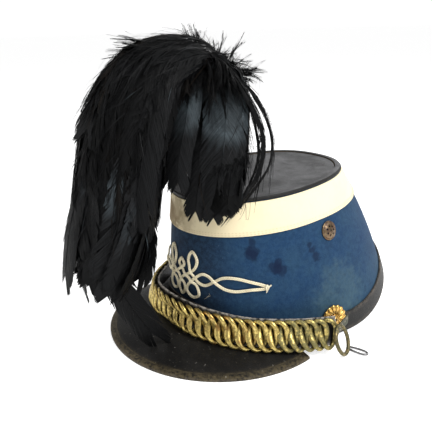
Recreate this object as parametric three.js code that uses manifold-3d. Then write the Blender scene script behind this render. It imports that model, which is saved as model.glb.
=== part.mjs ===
// Old dress shako: a low stiff hat of blue cloth with a leather crown and base band, an ivory band,
// a soutache knot, a wide leather peak, a brass curb chain on a leather strap, and a cock feather plume.
// Millimetres, +Z up. The front faces -Y and the wearer's left is +X. The hat stands on its rim and peak.
import * as THREE from 'three';
import { mergeVertices } from 'three/addons/utils/BufferGeometryUtils.js';
import Module from 'manifold-3d';

const wasm = await Module();
wasm.setup();

// ---------- driving dimensions ----------

const GAP = 0.35; // clearance between pieces that touch on the real hat
const RIM = { halfWidth: 86, front: 110, back: 104.5, sideZ: 1, frontLift: 12, backLift: 32 };
const CROWN = { halfWidth: 58.5, front: 72, back: 78, centreY: -34, z: 124.2, slope: 0.061, backPower: 2.4 };
const WALL = { thick: 3, bulgeFront: 1, bulgeBack: 4, segments: 48 };
const BASE_BAND = { sideTall: 16.5, frontTall: 20, thick: 1.6 };
const TOP_BAND = { height: 29, thick: 1, lip: 3.2 };
const PEAK = { halfWidth: 97, reach: 96, centreY: -72, thick: 2.2, arch: 1.6, innerTurn: 55.5, outerTurn: 97 };
const CHAIN = { links: 35, halfLong: 6.9, halfTall: 10.8, twist: 1.75, wire: 2.35 };
const STRAP = { tall: 22.4, thick: 1.8, endPast: 5, rise: 1.6 };
const TAB = { tall: 8, thick: 1.2, route: [[97.6, -31.2, 15.5], [95, -23, 15.8], [91.6, -12.5, 16]] };
const BOSS = { radius: 12.3, turn: 80.8, rise: 0.11, petals: 12, scallop: 0.5 };
const VENT = { radius: 8.3, turn: 94.6, rise: 0.69, dome: 3.2, sheet: 1.1, hole: 0.95, seat: 0.3 };
const CORD = { wide: 2.8, thick: 1.3, lift: 0.5, step: 3.2 };
const STEM = { radius: 3.2, x: 0, y: -91 };
const SOCKET = { radius: 6, tall: 9, flange: 8.5, flangeTall: 1.6, seat: -0.7 };

// Route of the chain from the front centre to the wearer's left end: the middle of the links,
// and how far the band leans, in degrees, with its lower edge outwards.
const CHAIN_ROUTE = [
  { x: 0, y: -124.5, z: 27, lean: -6 },
  { x: 32, y: -119, z: 25, lean: 2 },
  { x: 64, y: -97.5, z: 20.8, lean: 16 },
  { x: 88, y: -66, z: 18.6, lean: 22 },
  { x: 99.5, y: -39, z: 15.6, lean: 17 },
];

// One half of the soutache knot: the angle round the hat from the front, in degrees, and the height.
// The other half is its mirror, and the two close into a single endless cord.
const KNOT_ROUTE = [
  { turn: 0, z: 36.8 },
  { turn: -2.9, z: 43 },
  { turn: 0, z: 51 },
  { turn: 6, z: 56.5 },
  { turn: 11.5, z: 62.5 },
  { turn: 13.6, z: 70 },
  { turn: 10, z: 76 },
  { turn: 6.6, z: 69 },
  { turn: 8.6, z: 60 },
  { turn: 13, z: 52.2 },
  { turn: 18.4, z: 50.4 },
  { turn: 24.6, z: 55.2 },
  { turn: 30, z: 59.6 },
  { turn: 37, z: 60.4 },
  { turn: 44, z: 57.4 },
  { turn: 51, z: 53.4 },
  { turn: 51, z: 51 },
  { turn: 44, z: 50.2 },
  { turn: 35, z: 48.6 },
  { turn: 28.6, z: 50.6 },
  { turn: 23.4, z: 56.6 },
  { turn: 17.4, z: 59.4 },
  { turn: 11.4, z: 54.4 },
  { turn: 5.4, z: 46.5 },
  { turn: 4.8, z: 40.5 },
  { turn: 9.4, z: 37.2 },
  { turn: 13.6, z: 41 },
  { turn: 12, z: 49 },
  { turn: 6.4, z: 54 },
  { turn: 0, z: 59.5 },
  { turn: -2.6, z: 63.2 },
  { turn: 0, z: 67.5 },
];

// Outer form of the plume's three falls: the middle of each section and its half width and half depth.
const PLUME_FRONT = [
  { x: 0, y: -78, z: 208, wide: 12, deep: 10 },
  { x: 0, y: -84, z: 216, wide: 22, deep: 15 },
  { x: 0, y: -104, z: 219, wide: 30, deep: 20 },
  { x: -1, y: -131, z: 209, wide: 35, deep: 25 },
  { x: -2, y: -149, z: 183, wide: 38, deep: 28 },
  { x: -2, y: -159, z: 149, wide: 38, deep: 30 },
  { x: -3, y: -167, z: 112, wide: 37, deep: 29 },
  { x: -4, y: -178, z: 80, wide: 33, deep: 26 },
  { x: -5, y: -187, z: 60, wide: 26, deep: 20 },
];
const PLUME_SIDE = [
  { x: 4, y: -82, z: 213, wide: 20, deep: 12 },
  { x: 15, y: -82, z: 210, wide: 25, deep: 16 },
  { x: 24, y: -88, z: 190, wide: 26, deep: 18 },
  { x: 28, y: -95, z: 165, wide: 26, deep: 18 },
  { x: 36, y: -105, z: 138, wide: 24, deep: 14 },
  { x: 44, y: -112, z: 111, wide: 19, deep: 8 },
];

// Lower end of the chain on the wearer's left: the loose ring and the steel wire loop lying beside it.
const END_RING = { halfWide: 9, halfTall: 11.5, wire: 2.8, centre: [107, -37, 12.8], lean: 20, swing: 40 };
const WIRE_LOOP = { wire: 1.5, halfWide: 2.6, start: [104.5, -26.5], end: [121, -22.5] };

// ---------- shapes that several pieces share ----------

const degrees = THREE.MathUtils.degToRad;
const UP = new THREE.Vector3(0, 0, 1);

function signedVolume(geometry) {
  const place = geometry.getAttribute('position');
  const order = geometry.getIndex();
  const corners = [new THREE.Vector3(), new THREE.Vector3(), new THREE.Vector3()];
  let total = 0;
  for (let i = 0; i < order.count; i += 3) {
    corners.forEach((corner, j) => corner.fromBufferAttribute(place, order.getX(i + j)));
    total += corners[0].dot(corners[1].clone().cross(corners[2]));
  }
  return total / 6;
}

// Joins a row of closed outlines, all with the same even number of points, into one solid:
// round in a ring, or with a flat cap at each end.
function solidFromOutlines(outlines, ring) {
  const size = outlines[0].length;
  const faces = [];
  const spans = ring ? outlines.length : outlines.length - 1;
  for (let i = 0; i < spans; i += 1) {
    const here = i * size;
    const next = ((i + 1) % outlines.length) * size;
    for (let j = 0; j < size; j += 1) {
      const k = (j + 1) % size;
      faces.push([here + j, next + j, next + k], [here + j, next + k, here + k]);
    }
  }
  if (!ring) {
    const last = (outlines.length - 1) * size;
    for (let j = 0; j < size / 2 - 1; j += 1) {
      const across = size - 1 - j;
      faces.push([j, j + 1, across], [j + 1, across - 1, across]);
      faces.push([last + j, last + across, last + j + 1], [last + j + 1, last + across, last + across - 1]);
    }
  }
  const geometry = new THREE.BufferGeometry();
  const places = outlines.flat().flatMap((point) => point.toArray());
  geometry.setAttribute('position', new THREE.Float32BufferAttribute(places, 3));
  geometry.setIndex(faces.filter((face) => new Set(face).size === 3).flat());
  if (signedVolume(geometry) < 0) {
    geometry.setIndex(faces.map(([a, b, c]) => [a, c, b]).flat());
  }
  return geometry;
}

// An outline of a given number of sides round a point, in the plane of two unit directions.
function ovalOutline(centre, across, along, halfAcross, halfAlong, sides) {
  return Array.from({ length: sides }, (_, i) => {
    const angle = ((i + 0.5) / sides) * Math.PI * 2;
    return centre.clone()
      .addScaledVector(across, halfAcross * Math.cos(angle))
      .addScaledVector(along, halfAlong * Math.sin(angle));
  });
}

function toManifold(geometry) {
  const plain = new THREE.BufferGeometry();
  plain.setAttribute('position', geometry.getAttribute('position').clone());
  if (geometry.getIndex()) {
    plain.setIndex(geometry.getIndex().clone());
  }
  const merged = mergeVertices(plain, 1e-4);
  const vertProperties = Float32Array.from(merged.getAttribute('position').array);
  const triVerts = Uint32Array.from(merged.getIndex().array);
  return new wasm.Manifold(new wasm.Mesh({ numProp: 3, vertProperties, triVerts }));
}

function fromManifold(solid) {
  const mesh = solid.getMesh();
  const geometry = new THREE.BufferGeometry();
  geometry.setAttribute('position', new THREE.Float32BufferAttribute(mesh.vertProperties, 3));
  geometry.setIndex(Array.from(mesh.triVerts));
  return geometry;
}

function material(colour, roughness, metalness) {
  return new THREE.MeshStandardMaterial({ color: colour, roughness, metalness });
}

const CLOTH = material(0x32557d, 0.95, 0);
const IVORY = material(0xeadfb8, 0.9, 0);
const LEATHER = material(0x2b2a2a, 0.6, 0);
const BRASS = material(0xaa913c, 0.35, 1);
const GILT = material(0xd7a53c, 0.35, 1);
const BRONZE = material(0x5d4a35, 0.45, 1);
const STEEL = material(0x7d7f80, 0.4, 1);
const FEATHER = material(0x101214, 0.5, 0);

function piece(name, geometry, finish) {
  const mesh = new THREE.Mesh(geometry, finish);
  mesh.name = name;
  return mesh;
}

// ---------- the hat's wall ----------

// A turn is the angle round the hat in radians, 0 at the front and growing towards the wearer's left.
function rimPoint(turn) {
  const ahead = Math.cos(turn) > 0;
  const lift = ahead ? RIM.frontLift : RIM.backLift;
  return new THREE.Vector3(
    RIM.halfWidth * Math.sin(turn),
    -(ahead ? RIM.front : RIM.back) * Math.cos(turn),
    RIM.sideZ + lift * Math.cos(turn) ** 2,
  );
}

function crownPoint(turn) {
  const ahead = Math.cos(turn) > 0;
  const power = ahead ? 1 : 2 / CROWN.backPower;
  const side = Math.sign(Math.sin(turn)) * Math.abs(Math.sin(turn)) ** power;
  const forward = Math.sign(Math.cos(turn)) * Math.abs(Math.cos(turn)) ** power;
  const y = -(ahead ? CROWN.front : CROWN.back) * forward;
  return new THREE.Vector3(CROWN.halfWidth * side, CROWN.centreY + y, CROWN.z + CROWN.slope * y);
}

function outward(turn) {
  const depth = (RIM.front + RIM.back) / 2;
  return new THREE.Vector3(Math.sin(turn) / RIM.halfWidth, -Math.cos(turn) / depth, 0).normalize();
}

// A point of the wall: rise is 0 at the rim and 1 at the crown's edge, and proud is outwards.
function wallPoint(turn, rise, proud) {
  const bulge = WALL.bulgeFront + (WALL.bulgeBack - WALL.bulgeFront) * (1 - Math.cos(turn)) / 2;
  return rimPoint(turn)
    .lerp(crownPoint(turn), rise)
    .addScaledVector(outward(turn), proud + bulge * Math.sin(Math.PI * THREE.MathUtils.clamp(rise, 0, 1)));
}

function wallLength(turn) {
  return rimPoint(turn).distanceTo(crownPoint(turn));
}

function wallNormal(turn, rise) {
  const step = 0.01;
  const round = wallPoint(turn + step, rise, 0).sub(wallPoint(turn - step, rise, 0));
  const rising = wallPoint(turn, rise + step, 0).sub(wallPoint(turn, rise - step, 0));
  return round.cross(rising).normalize();
}

function turns(count) {
  return Array.from({ length: count }, (_, i) => (i / count) * Math.PI * 2);
}

// A band of wall all round, between two heights given as functions of the turn.
function wallBand(riseFrom, riseTo, rows, inner, outer) {
  const outlines = turns(WALL.segments).map((turn) => {
    const low = riseFrom(turn);
    const high = riseTo(turn);
    const rises = Array.from({ length: rows + 1 }, (_, i) => low + (high - low) * (i / rows));
    const outside = rises.map((rise) => wallPoint(turn, rise, outer));
    const inside = rises.map((rise) => wallPoint(turn, rise, inner)).reverse();
    return [...outside, ...inside];
  });
  return solidFromOutlines(outlines, true);
}

function makeShell() {
  return piece('shell', wallBand(() => 0, () => 1, 7, -WALL.thick, 0), CLOTH);
}

function makeBaseBand() {
  const riseTo = (turn) => {
    const ahead = Math.max(Math.cos(turn), 0) ** 2;
    return (BASE_BAND.sideTall + (BASE_BAND.frontTall - BASE_BAND.sideTall) * ahead) / wallLength(turn);
  };
  const riseFrom = (turn) => GAP / wallLength(turn);
  return piece('base_band', wallBand(riseFrom, riseTo, 2, GAP, GAP + BASE_BAND.thick), LEATHER);
}

function makeTopBand() {
  const riseFrom = (turn) => 1 - TOP_BAND.height / wallLength(turn);
  const riseTo = (turn) => 1 - TOP_BAND.lip / wallLength(turn);
  return piece('top_band', wallBand(riseFrom, riseTo, 3, GAP, GAP + TOP_BAND.thick), IVORY);
}

// The crown: a leather disc just below a rolled rim that caps the top of the wall. Each row is an oval, inset
// from the wall's outer face. Disc rows are level with the crown's edge, and edge rows follow the wall.
const DISC_ROWS = [
  { inset: 40, z: -2.6, part: 'disc' },
  { inset: 20, z: -1.9, part: 'disc' },
  { inset: 8, z: -1.1, part: 'disc' },
  { inset: 6, z: -0.7, part: 'disc' },
  { inset: 3.6, z: -0.5, part: 'disc' },
  { inset: 3.6, z: -2.9, part: 'disc' },
  { inset: 20, z: -3.9, part: 'disc' },
  { inset: 40, z: -4.6, part: 'disc' },
];
const ROLL_ROWS = [
  { inset: 3.1, z: GAP, part: 'disc' },
  { inset: 3.1, z: 0.8, part: 'disc' },
  { inset: 1.8, z: 1.3, part: 'disc' },
  { inset: 0.4, z: 1.4, part: 'edge' },
  { inset: -1.5, z: 0.6, part: 'edge' },
  { inset: -1.9, z: -1, part: 'edge' },
  { inset: -1.6, z: -2.3, part: 'edge' },
  { inset: -0.4, z: -2.3, part: 'edge' },
  { inset: -0.4, z: GAP, part: 'edge' },
];

function crownRowPoint(row, turn) {
  if (row.part === 'edge') {
    return wallPoint(turn, 1 + row.z / wallLength(turn), -row.inset);
  }
  return crownPoint(turn).addScaledVector(outward(turn), -row.inset).addScaledVector(UP, row.z);
}

function makeCrownDisc() {
  const outlines = DISC_ROWS.map((row) => turns(WALL.segments).map((turn) => crownRowPoint(row, turn)));
  return piece('crown_disc', solidFromOutlines(outlines, false), LEATHER);
}

function makeCrownRoll() {
  const outlines = turns(WALL.segments).map((turn) => ROLL_ROWS.map((row) => crownRowPoint(row, turn)));
  return piece('crown_roll', solidFromOutlines(outlines, true), LEATHER);
}

// ---------- the peak ----------

// The peak runs from the base band down to a flat edge on the ground. Out is 0 at the hat and 1 at the edge.
function peakPoint(part, out, above) {
  const innerTurn = degrees(PEAK.innerTurn) * part;
  const outerTurn = degrees(PEAK.outerTurn) * part;
  const inner = rimPoint(innerTurn).addScaledVector(outward(innerTurn), BASE_BAND.thick + 2 * GAP);
  const edge = new THREE.Vector3(
    PEAK.halfWidth * Math.sin(outerTurn),
    PEAK.centreY - PEAK.reach * Math.cos(outerTurn),
    0,
  );
  const point = inner.lerp(edge, out);
  point.z += above + PEAK.arch * Math.sin(Math.PI * out);
  return point;
}

function makePeak() {
  const columns = 40;
  const outs = [0, 0.25, 0.5, 0.75, 1];
  const outlines = Array.from({ length: columns + 1 }, (_, i) => {
    const part = (i / columns) * 2 - 1;
    const top = outs.map((out) => peakPoint(part, out, PEAK.thick));
    const under = outs.map((out) => peakPoint(part, out, 0)).reverse();
    return [...top, ...under];
  });
  return piece('peak', solidFromOutlines(outlines, false), LEATHER);
}

// ---------- the chin strap and its chain ----------

const routeRows = [
  ...CHAIN_ROUTE.slice(1).reverse().map((row) => ({ ...row, x: -row.x })),
  ...CHAIN_ROUTE,
];
const routeCurve = new THREE.CatmullRomCurve3(
  routeRows.map((row) => new THREE.Vector3(row.x, row.y, row.z)),
  false,
  'centripetal',
);
const routeLength = routeCurve.getLength();
const leanCurve = new THREE.CatmullRomCurve3(routeRows.map((row) => new THREE.Vector3(row.lean, 0, 0)));

// The chain's own directions at a fraction of its length: along it, out from the hat, and up the band.
function routeFrame(fraction) {
  const inside = THREE.MathUtils.clamp(fraction, 0, 1);
  const parameter = routeCurve.getUtoTmapping(inside);
  const along = routeCurve.getTangent(parameter).setZ(0).normalize();
  const centre = routeCurve.getPoint(parameter).addScaledVector(along, (fraction - inside) * routeLength);
  const level = along.clone().cross(UP);
  const lean = degrees(leanCurve.getPoint(parameter).x);
  const up = UP.clone().multiplyScalar(Math.cos(lean)).addScaledVector(level, -Math.sin(lean));
  const out = level.clone().multiplyScalar(Math.cos(lean)).addScaledVector(UP, Math.sin(lean));
  return { centre, along, up, out };
}

function makeStrap() {
  const columns = 44;
  const depth = CHAIN.twist + CHAIN.wire / 2 + GAP + STRAP.thick / 2;
  const past = STRAP.endPast / routeLength;
  const outlines = Array.from({ length: columns + 1 }, (_, i) => {
    const frame = routeFrame(-past + (1 + 2 * past) * (i / columns));
    const middle = frame.centre.addScaledVector(frame.out, -depth).addScaledVector(frame.up, STRAP.rise);
    return [[-1, -1], [-1, 0], [-1, 1], [1, 1], [1, 0], [1, -1]].map(([side, height]) => middle.clone()
      .addScaledVector(frame.out, side * STRAP.thick / 2)
      .addScaledVector(frame.up, height * STRAP.tall / 2));
  });
  return piece('chin_strap', solidFromOutlines(outlines, false), LEATHER);
}

// The metal tab that joins an end of the strap to its boss.
function makeTab(name, side) {
  const curve = new THREE.CatmullRomCurve3(TAB.route.map(([x, y, z]) => new THREE.Vector3(x * side, y, z)));
  const outlines = curve.getPoints(8).map((place, i) => {
    const along = curve.getTangent(i / 8).setZ(0).normalize();
    const out = along.cross(UP);
    return [[-1, -1], [-1, 1], [1, 1], [1, -1]].map(([across, height]) => place.clone()
      .addScaledVector(out, across * TAB.thick / 2)
      .addScaledVector(UP, height * TAB.tall / 2));
  });
  return piece(name, solidFromOutlines(outlines, false), BRONZE);
}

// One curb link: an oval of round wire, twisted so that each link passes through the next.
function makeLink(index) {
  const steps = 12;
  const sides = 5;
  const frame = routeFrame((index + 0.5) / CHAIN.links);
  const outlines = turns(steps).map((angle) => {
    const round = frame.centre.clone()
      .addScaledVector(frame.along, CHAIN.halfLong * Math.cos(angle))
      .addScaledVector(frame.up, CHAIN.halfTall * Math.sin(angle))
      .addScaledVector(frame.out, CHAIN.twist * Math.sin(2 * angle));
    const away = frame.along.clone().multiplyScalar(CHAIN.halfTall * Math.cos(angle))
      .addScaledVector(frame.up, CHAIN.halfLong * Math.sin(angle))
      .normalize();
    return ovalOutline(round, away, frame.out, CHAIN.wire / 2, CHAIN.wire / 2, sides);
  });
  return solidFromOutlines(outlines, true);
}

function makeChain() {
  return Array.from({ length: CHAIN.links }, (_, i) => (
    piece(`chain_link_${String(i + 1).padStart(2, '0')}`, makeLink(i), BRASS)
  ));
}

// ---------- fittings on the wall ----------

// Directions on the wall at a fitting: out of it, level round the hat, and up.
function wallFrame(turn, rise, side) {
  const place = wallPoint(turn, rise, 0);
  const out = wallNormal(turn, rise);
  const level = UP.clone().cross(out).normalize();
  const up = out.clone().cross(level);
  const flip = new THREE.Vector3(side, 1, 1);
  return [place, out, level, up].map((vector) => vector.multiply(flip));
}

// The rosette boss: a low dome with a scalloped edge. Each row is a radius and a height off the wall.
const BOSS_ROWS = [
  { part: 0.4, out: 2.6 },
  { part: 1, out: 2.6 },
  { part: 1, out: 3.6 },
  { part: 0.8, out: 5 },
  { part: 0.45, out: 5.6 },
  { part: 0.2, out: 6.6 },
];

function makeBoss(name, side) {
  const [place, out, level, up] = wallFrame(degrees(BOSS.turn), BOSS.rise, side);
  const outlines = BOSS_ROWS.map((row) => turns(BOSS.petals * 3).map((angle) => {
    const radius = row.part * (BOSS.radius + BOSS.scallop * Math.cos(angle * BOSS.petals));
    return place.clone()
      .addScaledVector(out, row.out)
      .addScaledVector(level, radius * Math.cos(angle))
      .addScaledVector(up, radius * Math.sin(angle));
  }));
  return piece(name, solidFromOutlines(outlines, false), GILT);
}

// The vent: a thin domed disc with holes, open at the back. Each row is a radius and a height off the wall.
function makeVent(name, side) {
  const { radius, dome, sheet } = VENT;
  const profile = [
    new THREE.Vector2(0, dome - sheet),
    new THREE.Vector2(radius * 0.4, dome * 0.86 - sheet),
    new THREE.Vector2(radius * 0.7, 0),
    new THREE.Vector2(radius, 0),
    new THREE.Vector2(radius, sheet),
    new THREE.Vector2(radius * 0.75, dome * 0.55),
    new THREE.Vector2(radius * 0.45, dome * 0.86),
    new THREE.Vector2(0, dome),
  ];
  let solid = toManifold(new THREE.LatheGeometry(profile, 20).rotateX(Math.PI / 2));
  const holes = [0, 1, 2, 3, 4, 5].map((i) => ({ reach: radius * 0.46, angle: (i / 6) * Math.PI * 2 }));
  [{ reach: 0, angle: 0 }, ...holes].forEach(({ reach, angle }) => {
    const drill = new THREE.CylinderGeometry(VENT.hole, VENT.hole, dome * 4, 8).rotateX(Math.PI / 2);
    drill.translate(reach * Math.cos(angle), reach * Math.sin(angle), 0);
    solid = solid.subtract(toManifold(drill));
  });
  const geometry = fromManifold(solid);
  const [place, out, , up] = wallFrame(degrees(VENT.turn), VENT.rise, side);
  const across = up.clone().cross(out);
  const turned = new THREE.Matrix4().makeBasis(across, up, out);
  turned.setPosition(place.addScaledVector(out, GAP + VENT.seat));
  return piece(name, geometry.applyMatrix4(turned), BRONZE);
}

// ---------- the soutache knot ----------

function knotSamples() {
  const half = KNOT_ROUTE;
  const mirrored = half.slice(1, -1).reverse().map((row) => ({ turn: -row.turn, z: row.z }));
  const loop = new THREE.CatmullRomCurve3(
    [...half, ...mirrored].map((row) => new THREE.Vector3(degrees(row.turn) * RIM.front, 0, row.z)),
    true,
    'centripetal',
  );
  const count = Math.round(loop.getLength() / CORD.step);
  return loop.getSpacedPoints(count).slice(0, count);
}

// How far each sample stands off the cloth, so that a later strand passes over an earlier one.
function knotLifts(samples) {
  const reach = CORD.wide + GAP;
  const apart = 4;
  const raised = samples.map(() => 0);
  samples.forEach((sample, i) => {
    for (let j = 0; j < i - apart; j += 1) {
      const wraps = samples.length - i + j > apart;
      if (wraps && sample.distanceTo(samples[j]) < reach) {
        raised[i] = Math.max(raised[i], raised[j] + CORD.thick + GAP);
      }
    }
  });
  return raised;
}

function makeKnot() {
  const sides = 6;
  const samples = knotSamples();
  const lifts = knotLifts(samples);
  const count = samples.length;
  const centres = samples.map((sample, i) => {
    const around = [-1, 0, 1].map((k) => lifts[(i + k + count) % count]);
    const turn = sample.x / RIM.front;
    const rim = rimPoint(turn);
    const rise = (sample.z - rim.z) / (crownPoint(turn).z - rim.z);
    return { turn, rise, proud: CORD.lift + CORD.thick / 2 + Math.max(...around) };
  });
  const places = centres.map(({ turn, rise, proud }) => wallPoint(turn, rise, proud));
  const outlines = places.map((place, i) => {
    const along = places[(i + 1) % count].clone().sub(places[(i - 1 + count) % count]).normalize();
    const out = outward(centres[i].turn);
    const across = along.clone().cross(out).normalize();
    const off = across.clone().cross(along);
    return ovalOutline(place, across, off, CORD.wide / 2, CORD.thick / 2, sides);
  });
  return piece('knot', solidFromOutlines(outlines, true), IVORY);
}

// ---------- the plume ----------

// A fall of feathers as one closed form, through its table of sections.
function makeFall(rows, side) {
  const sides = 14;
  const middles = rows.map((row) => new THREE.Vector3(row.x * side, row.y, row.z));
  const outlines = middles.map((middle, i) => {
    const before = middles[Math.max(i - 1, 0)];
    const after = middles[Math.min(i + 1, middles.length - 1)];
    const along = after.clone().sub(before).normalize();
    const lateral = new THREE.Vector3(-along.y, along.x, 0);
    if (rows === PLUME_FRONT) {
      lateral.set(1, 0, 0);
    }
    lateral.addScaledVector(along, -lateral.dot(along)).normalize();
    const depth = along.clone().cross(lateral);
    return ovalOutline(middle, lateral, depth, rows[i].wide, rows[i].deep, sides);
  });
  return toManifold(solidFromOutlines(outlines, false));
}

function makePlume() {
  const foot = crownPoint(0).z + SOCKET.flangeTall;
  const top = PLUME_FRONT[1].z;
  const stem = new THREE.CylinderGeometry(STEM.radius, STEM.radius, top - foot, 12).rotateX(Math.PI / 2);
  stem.translate(STEM.x, STEM.y, (top + foot) / 2);
  const solid = makeFall(PLUME_FRONT, 1)
    .add(makeFall(PLUME_SIDE, 1))
    .add(makeFall(PLUME_SIDE, -1))
    .add(toManifold(stem));
  return piece('plume', fromManifold(solid), FEATHER);
}

// The socket on the crown that the plume's stem stands in: a flanged tube, open at the top.
function makeSocket() {
  const bore = STEM.radius + GAP;
  const profile = [
    new THREE.Vector2(bore, 0),
    new THREE.Vector2(SOCKET.flange, 0),
    new THREE.Vector2(SOCKET.flange, SOCKET.flangeTall),
    new THREE.Vector2(SOCKET.radius, SOCKET.flangeTall),
    new THREE.Vector2(SOCKET.radius, SOCKET.tall),
    new THREE.Vector2(bore, SOCKET.tall),
    new THREE.Vector2(bore, 0),
  ];
  const geometry = new THREE.LatheGeometry(profile, 24).rotateX(Math.PI / 2);
  const floor = CROWN.z + CROWN.slope * (STEM.y - CROWN.centreY);
  geometry.translate(STEM.x, STEM.y, floor + SOCKET.seat);
  return piece('plume_socket', geometry, BRONZE);
}

// ---------- the left end of the chain ----------

function wireSolid(points, closed, wire, sides, steps) {
  const curve = new THREE.CatmullRomCurve3(points, closed, 'centripetal');
  const places = closed ? curve.getSpacedPoints(steps).slice(0, steps) : curve.getSpacedPoints(steps);
  const middle = places.reduce((sum, place) => sum.add(place), new THREE.Vector3()).divideScalar(places.length);
  const flat = places[0].clone().sub(middle).cross(places[Math.round(steps / 4)].clone().sub(middle)).normalize();
  const outlines = places.map((place, i) => {
    const before = places[closed ? (i - 1 + steps) % steps : Math.max(i - 1, 0)];
    const after = places[closed ? (i + 1) % steps : Math.min(i + 1, steps)];
    const along = after.clone().sub(before).normalize();
    const across = along.clone().cross(flat).normalize();
    return ovalOutline(place, across, flat, wire / 2, wire / 2, sides);
  });
  return solidFromOutlines(outlines, closed);
}

function makeEndRing() {
  const along = routeFrame(1).along.clone().applyAxisAngle(UP, degrees(END_RING.swing));
  const lean = degrees(END_RING.lean);
  const level = along.clone().cross(UP);
  const up = UP.clone().multiplyScalar(Math.cos(lean)).addScaledVector(level, -Math.sin(lean));
  const centre = new THREE.Vector3(...END_RING.centre);
  const points = turns(12).map((angle) => centre.clone()
    .addScaledVector(along, END_RING.halfWide * Math.cos(angle))
    .addScaledVector(up, END_RING.halfTall * Math.sin(angle)));
  return piece('end_ring', wireSolid(points, true, END_RING.wire, 6, 20), BRONZE);
}

function makeWireLoop() {
  const start = new THREE.Vector3(...WIRE_LOOP.start, WIRE_LOOP.wire / 2 + 0.2);
  const end = new THREE.Vector3(...WIRE_LOOP.end, WIRE_LOOP.wire / 2 + 0.2);
  const along = end.clone().sub(start);
  const across = along.clone().normalize().cross(UP);
  const rows = [[0, -0.5], [0.4, -1], [0.85, -0.9], [1, 0], [0.85, 0.9], [0.4, 1], [0, 0.5]];
  const points = rows.map(([part, side]) => start.clone()
    .addScaledVector(along, part)
    .addScaledVector(across, side * WIRE_LOOP.halfWide));
  return piece('wire_loop', wireSolid(points, false, WIRE_LOOP.wire, 6, 18), STEEL);
}

// ---------- the whole hat ----------

const hat = new THREE.Group();
hat.add(
  makeShell(),
  makeCrownDisc(),
  makeCrownRoll(),
  makeTopBand(),
  makeBaseBand(),
  makePeak(),
  makeStrap(),
  makeTab('tab_left', 1),
  makeTab('tab_right', -1),
  ...makeChain(),
  makeBoss('boss_left', 1),
  makeBoss('boss_right', -1),
  makeVent('vent_left', 1),
  makeVent('vent_right', -1),
  makeKnot(),
  makePlume(),
  makeSocket(),
  makeEndRing(),
  makeWireLoop(),
);

const shako = new THREE.Group();
shako.add(hat);
shako.updateMatrixWorld(true);
const extent = new THREE.Box3().setFromObject(hat, true);
const middle = extent.getCenter(new THREE.Vector3());
hat.position.set(-middle.x, -middle.y, -extent.min.z);

export default shako;
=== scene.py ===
"""An old dress shako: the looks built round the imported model, laid out as a Blender add-on."""

import math
import random

import bpy
import numpy as np
from bpy.props import FloatProperty, FloatVectorProperty, IntProperty, PointerProperty
from mathutils import Matrix, Vector
from mathutils.kdtree import KDTree


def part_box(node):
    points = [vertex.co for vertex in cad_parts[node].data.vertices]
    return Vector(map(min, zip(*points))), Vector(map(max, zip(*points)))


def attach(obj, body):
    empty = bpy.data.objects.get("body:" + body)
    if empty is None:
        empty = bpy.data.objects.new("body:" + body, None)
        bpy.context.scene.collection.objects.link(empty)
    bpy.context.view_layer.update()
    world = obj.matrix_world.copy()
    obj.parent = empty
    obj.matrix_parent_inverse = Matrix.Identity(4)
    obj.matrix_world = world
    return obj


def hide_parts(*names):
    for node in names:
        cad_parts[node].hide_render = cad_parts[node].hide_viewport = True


bl_info = {
    "name": "Shako",
    "version": (1, 0, 0),
    "blender": (4, 5, 0),
    "location": "View3D > Sidebar > Shako",
    "description": "Builds a cloth shako with a leather peak, a curb chain and a feather plume",
    "category": "Object",
}

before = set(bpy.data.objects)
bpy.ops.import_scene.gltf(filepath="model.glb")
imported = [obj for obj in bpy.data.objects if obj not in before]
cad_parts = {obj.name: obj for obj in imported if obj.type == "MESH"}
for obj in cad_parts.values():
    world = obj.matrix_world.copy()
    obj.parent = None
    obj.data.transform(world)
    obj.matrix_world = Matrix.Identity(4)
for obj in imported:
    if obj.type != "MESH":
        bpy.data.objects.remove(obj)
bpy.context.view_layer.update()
BODY = "root"
MM = 0.001

# The hat's own origin: over the middle of its head opening, on the table. Its front faces -Y.
SHELL_LOW, SHELL_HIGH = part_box("shell")
RIM = {
    "half_width": 86.0, "front": 110.0, "back": 104.5, "side_z": 1.0, "front_lift": 12.0, "back_lift": 32.0,
}
CROWN = {
    "half_width": 58.5, "front": 72.0, "back": 78.0, "centre_y": -34.0, "z": 124.2, "slope": 0.061,
    "power": 2.4,
}
BULGE = {"front": 1.0, "back": 4.0}
ORIGIN = Vector((
    (SHELL_LOW.x + SHELL_HIGH.x) / 2,
    (SHELL_LOW.y + SHELL_HIGH.y) / 2 + (RIM["front"] - RIM["back"]) / 2 * MM,
    0.0,
))
LINKS = sorted(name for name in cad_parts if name.startswith("chain_link_"))


class ShakoSizes(bpy.types.PropertyGroup):
    """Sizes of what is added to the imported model"""

    cord_width: FloatProperty(
        name="Knot cord width", description="Width of the flat cord of the knot",
        default=0.0024, min=0.001, max=0.005, subtype="DISTANCE", unit="LENGTH")
    cord_height: FloatProperty(
        name="Knot cord height", description="Height of the flat cord off the cloth",
        default=0.0015, min=0.0005, max=0.003, subtype="DISTANCE", unit="LENGTH")
    link_width: FloatProperty(
        name="Link wire width", description="Width of the flattened wire of a chain link",
        default=0.0036, min=0.001, max=0.006, subtype="DISTANCE", unit="LENGTH")
    link_depth: FloatProperty(
        name="Link wire depth", description="Thickness of the flattened wire of a chain link",
        default=0.0026, min=0.001, max=0.0035, subtype="DISTANCE", unit="LENGTH")
    petals: IntProperty(
        name="Boss petals", description="Number of petals on each boss", default=16, min=6, max=30)
    stitch: FloatProperty(
        name="Stitch length", description="Length of one stitch of the ivory band",
        default=0.0017, min=0.0005, max=0.004, subtype="DISTANCE", unit="LENGTH")
    barb_count: IntProperty(
        name="Barbs", description="Number of barbs on each side of an outer feather",
        default=46, min=12, max=90)


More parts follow.
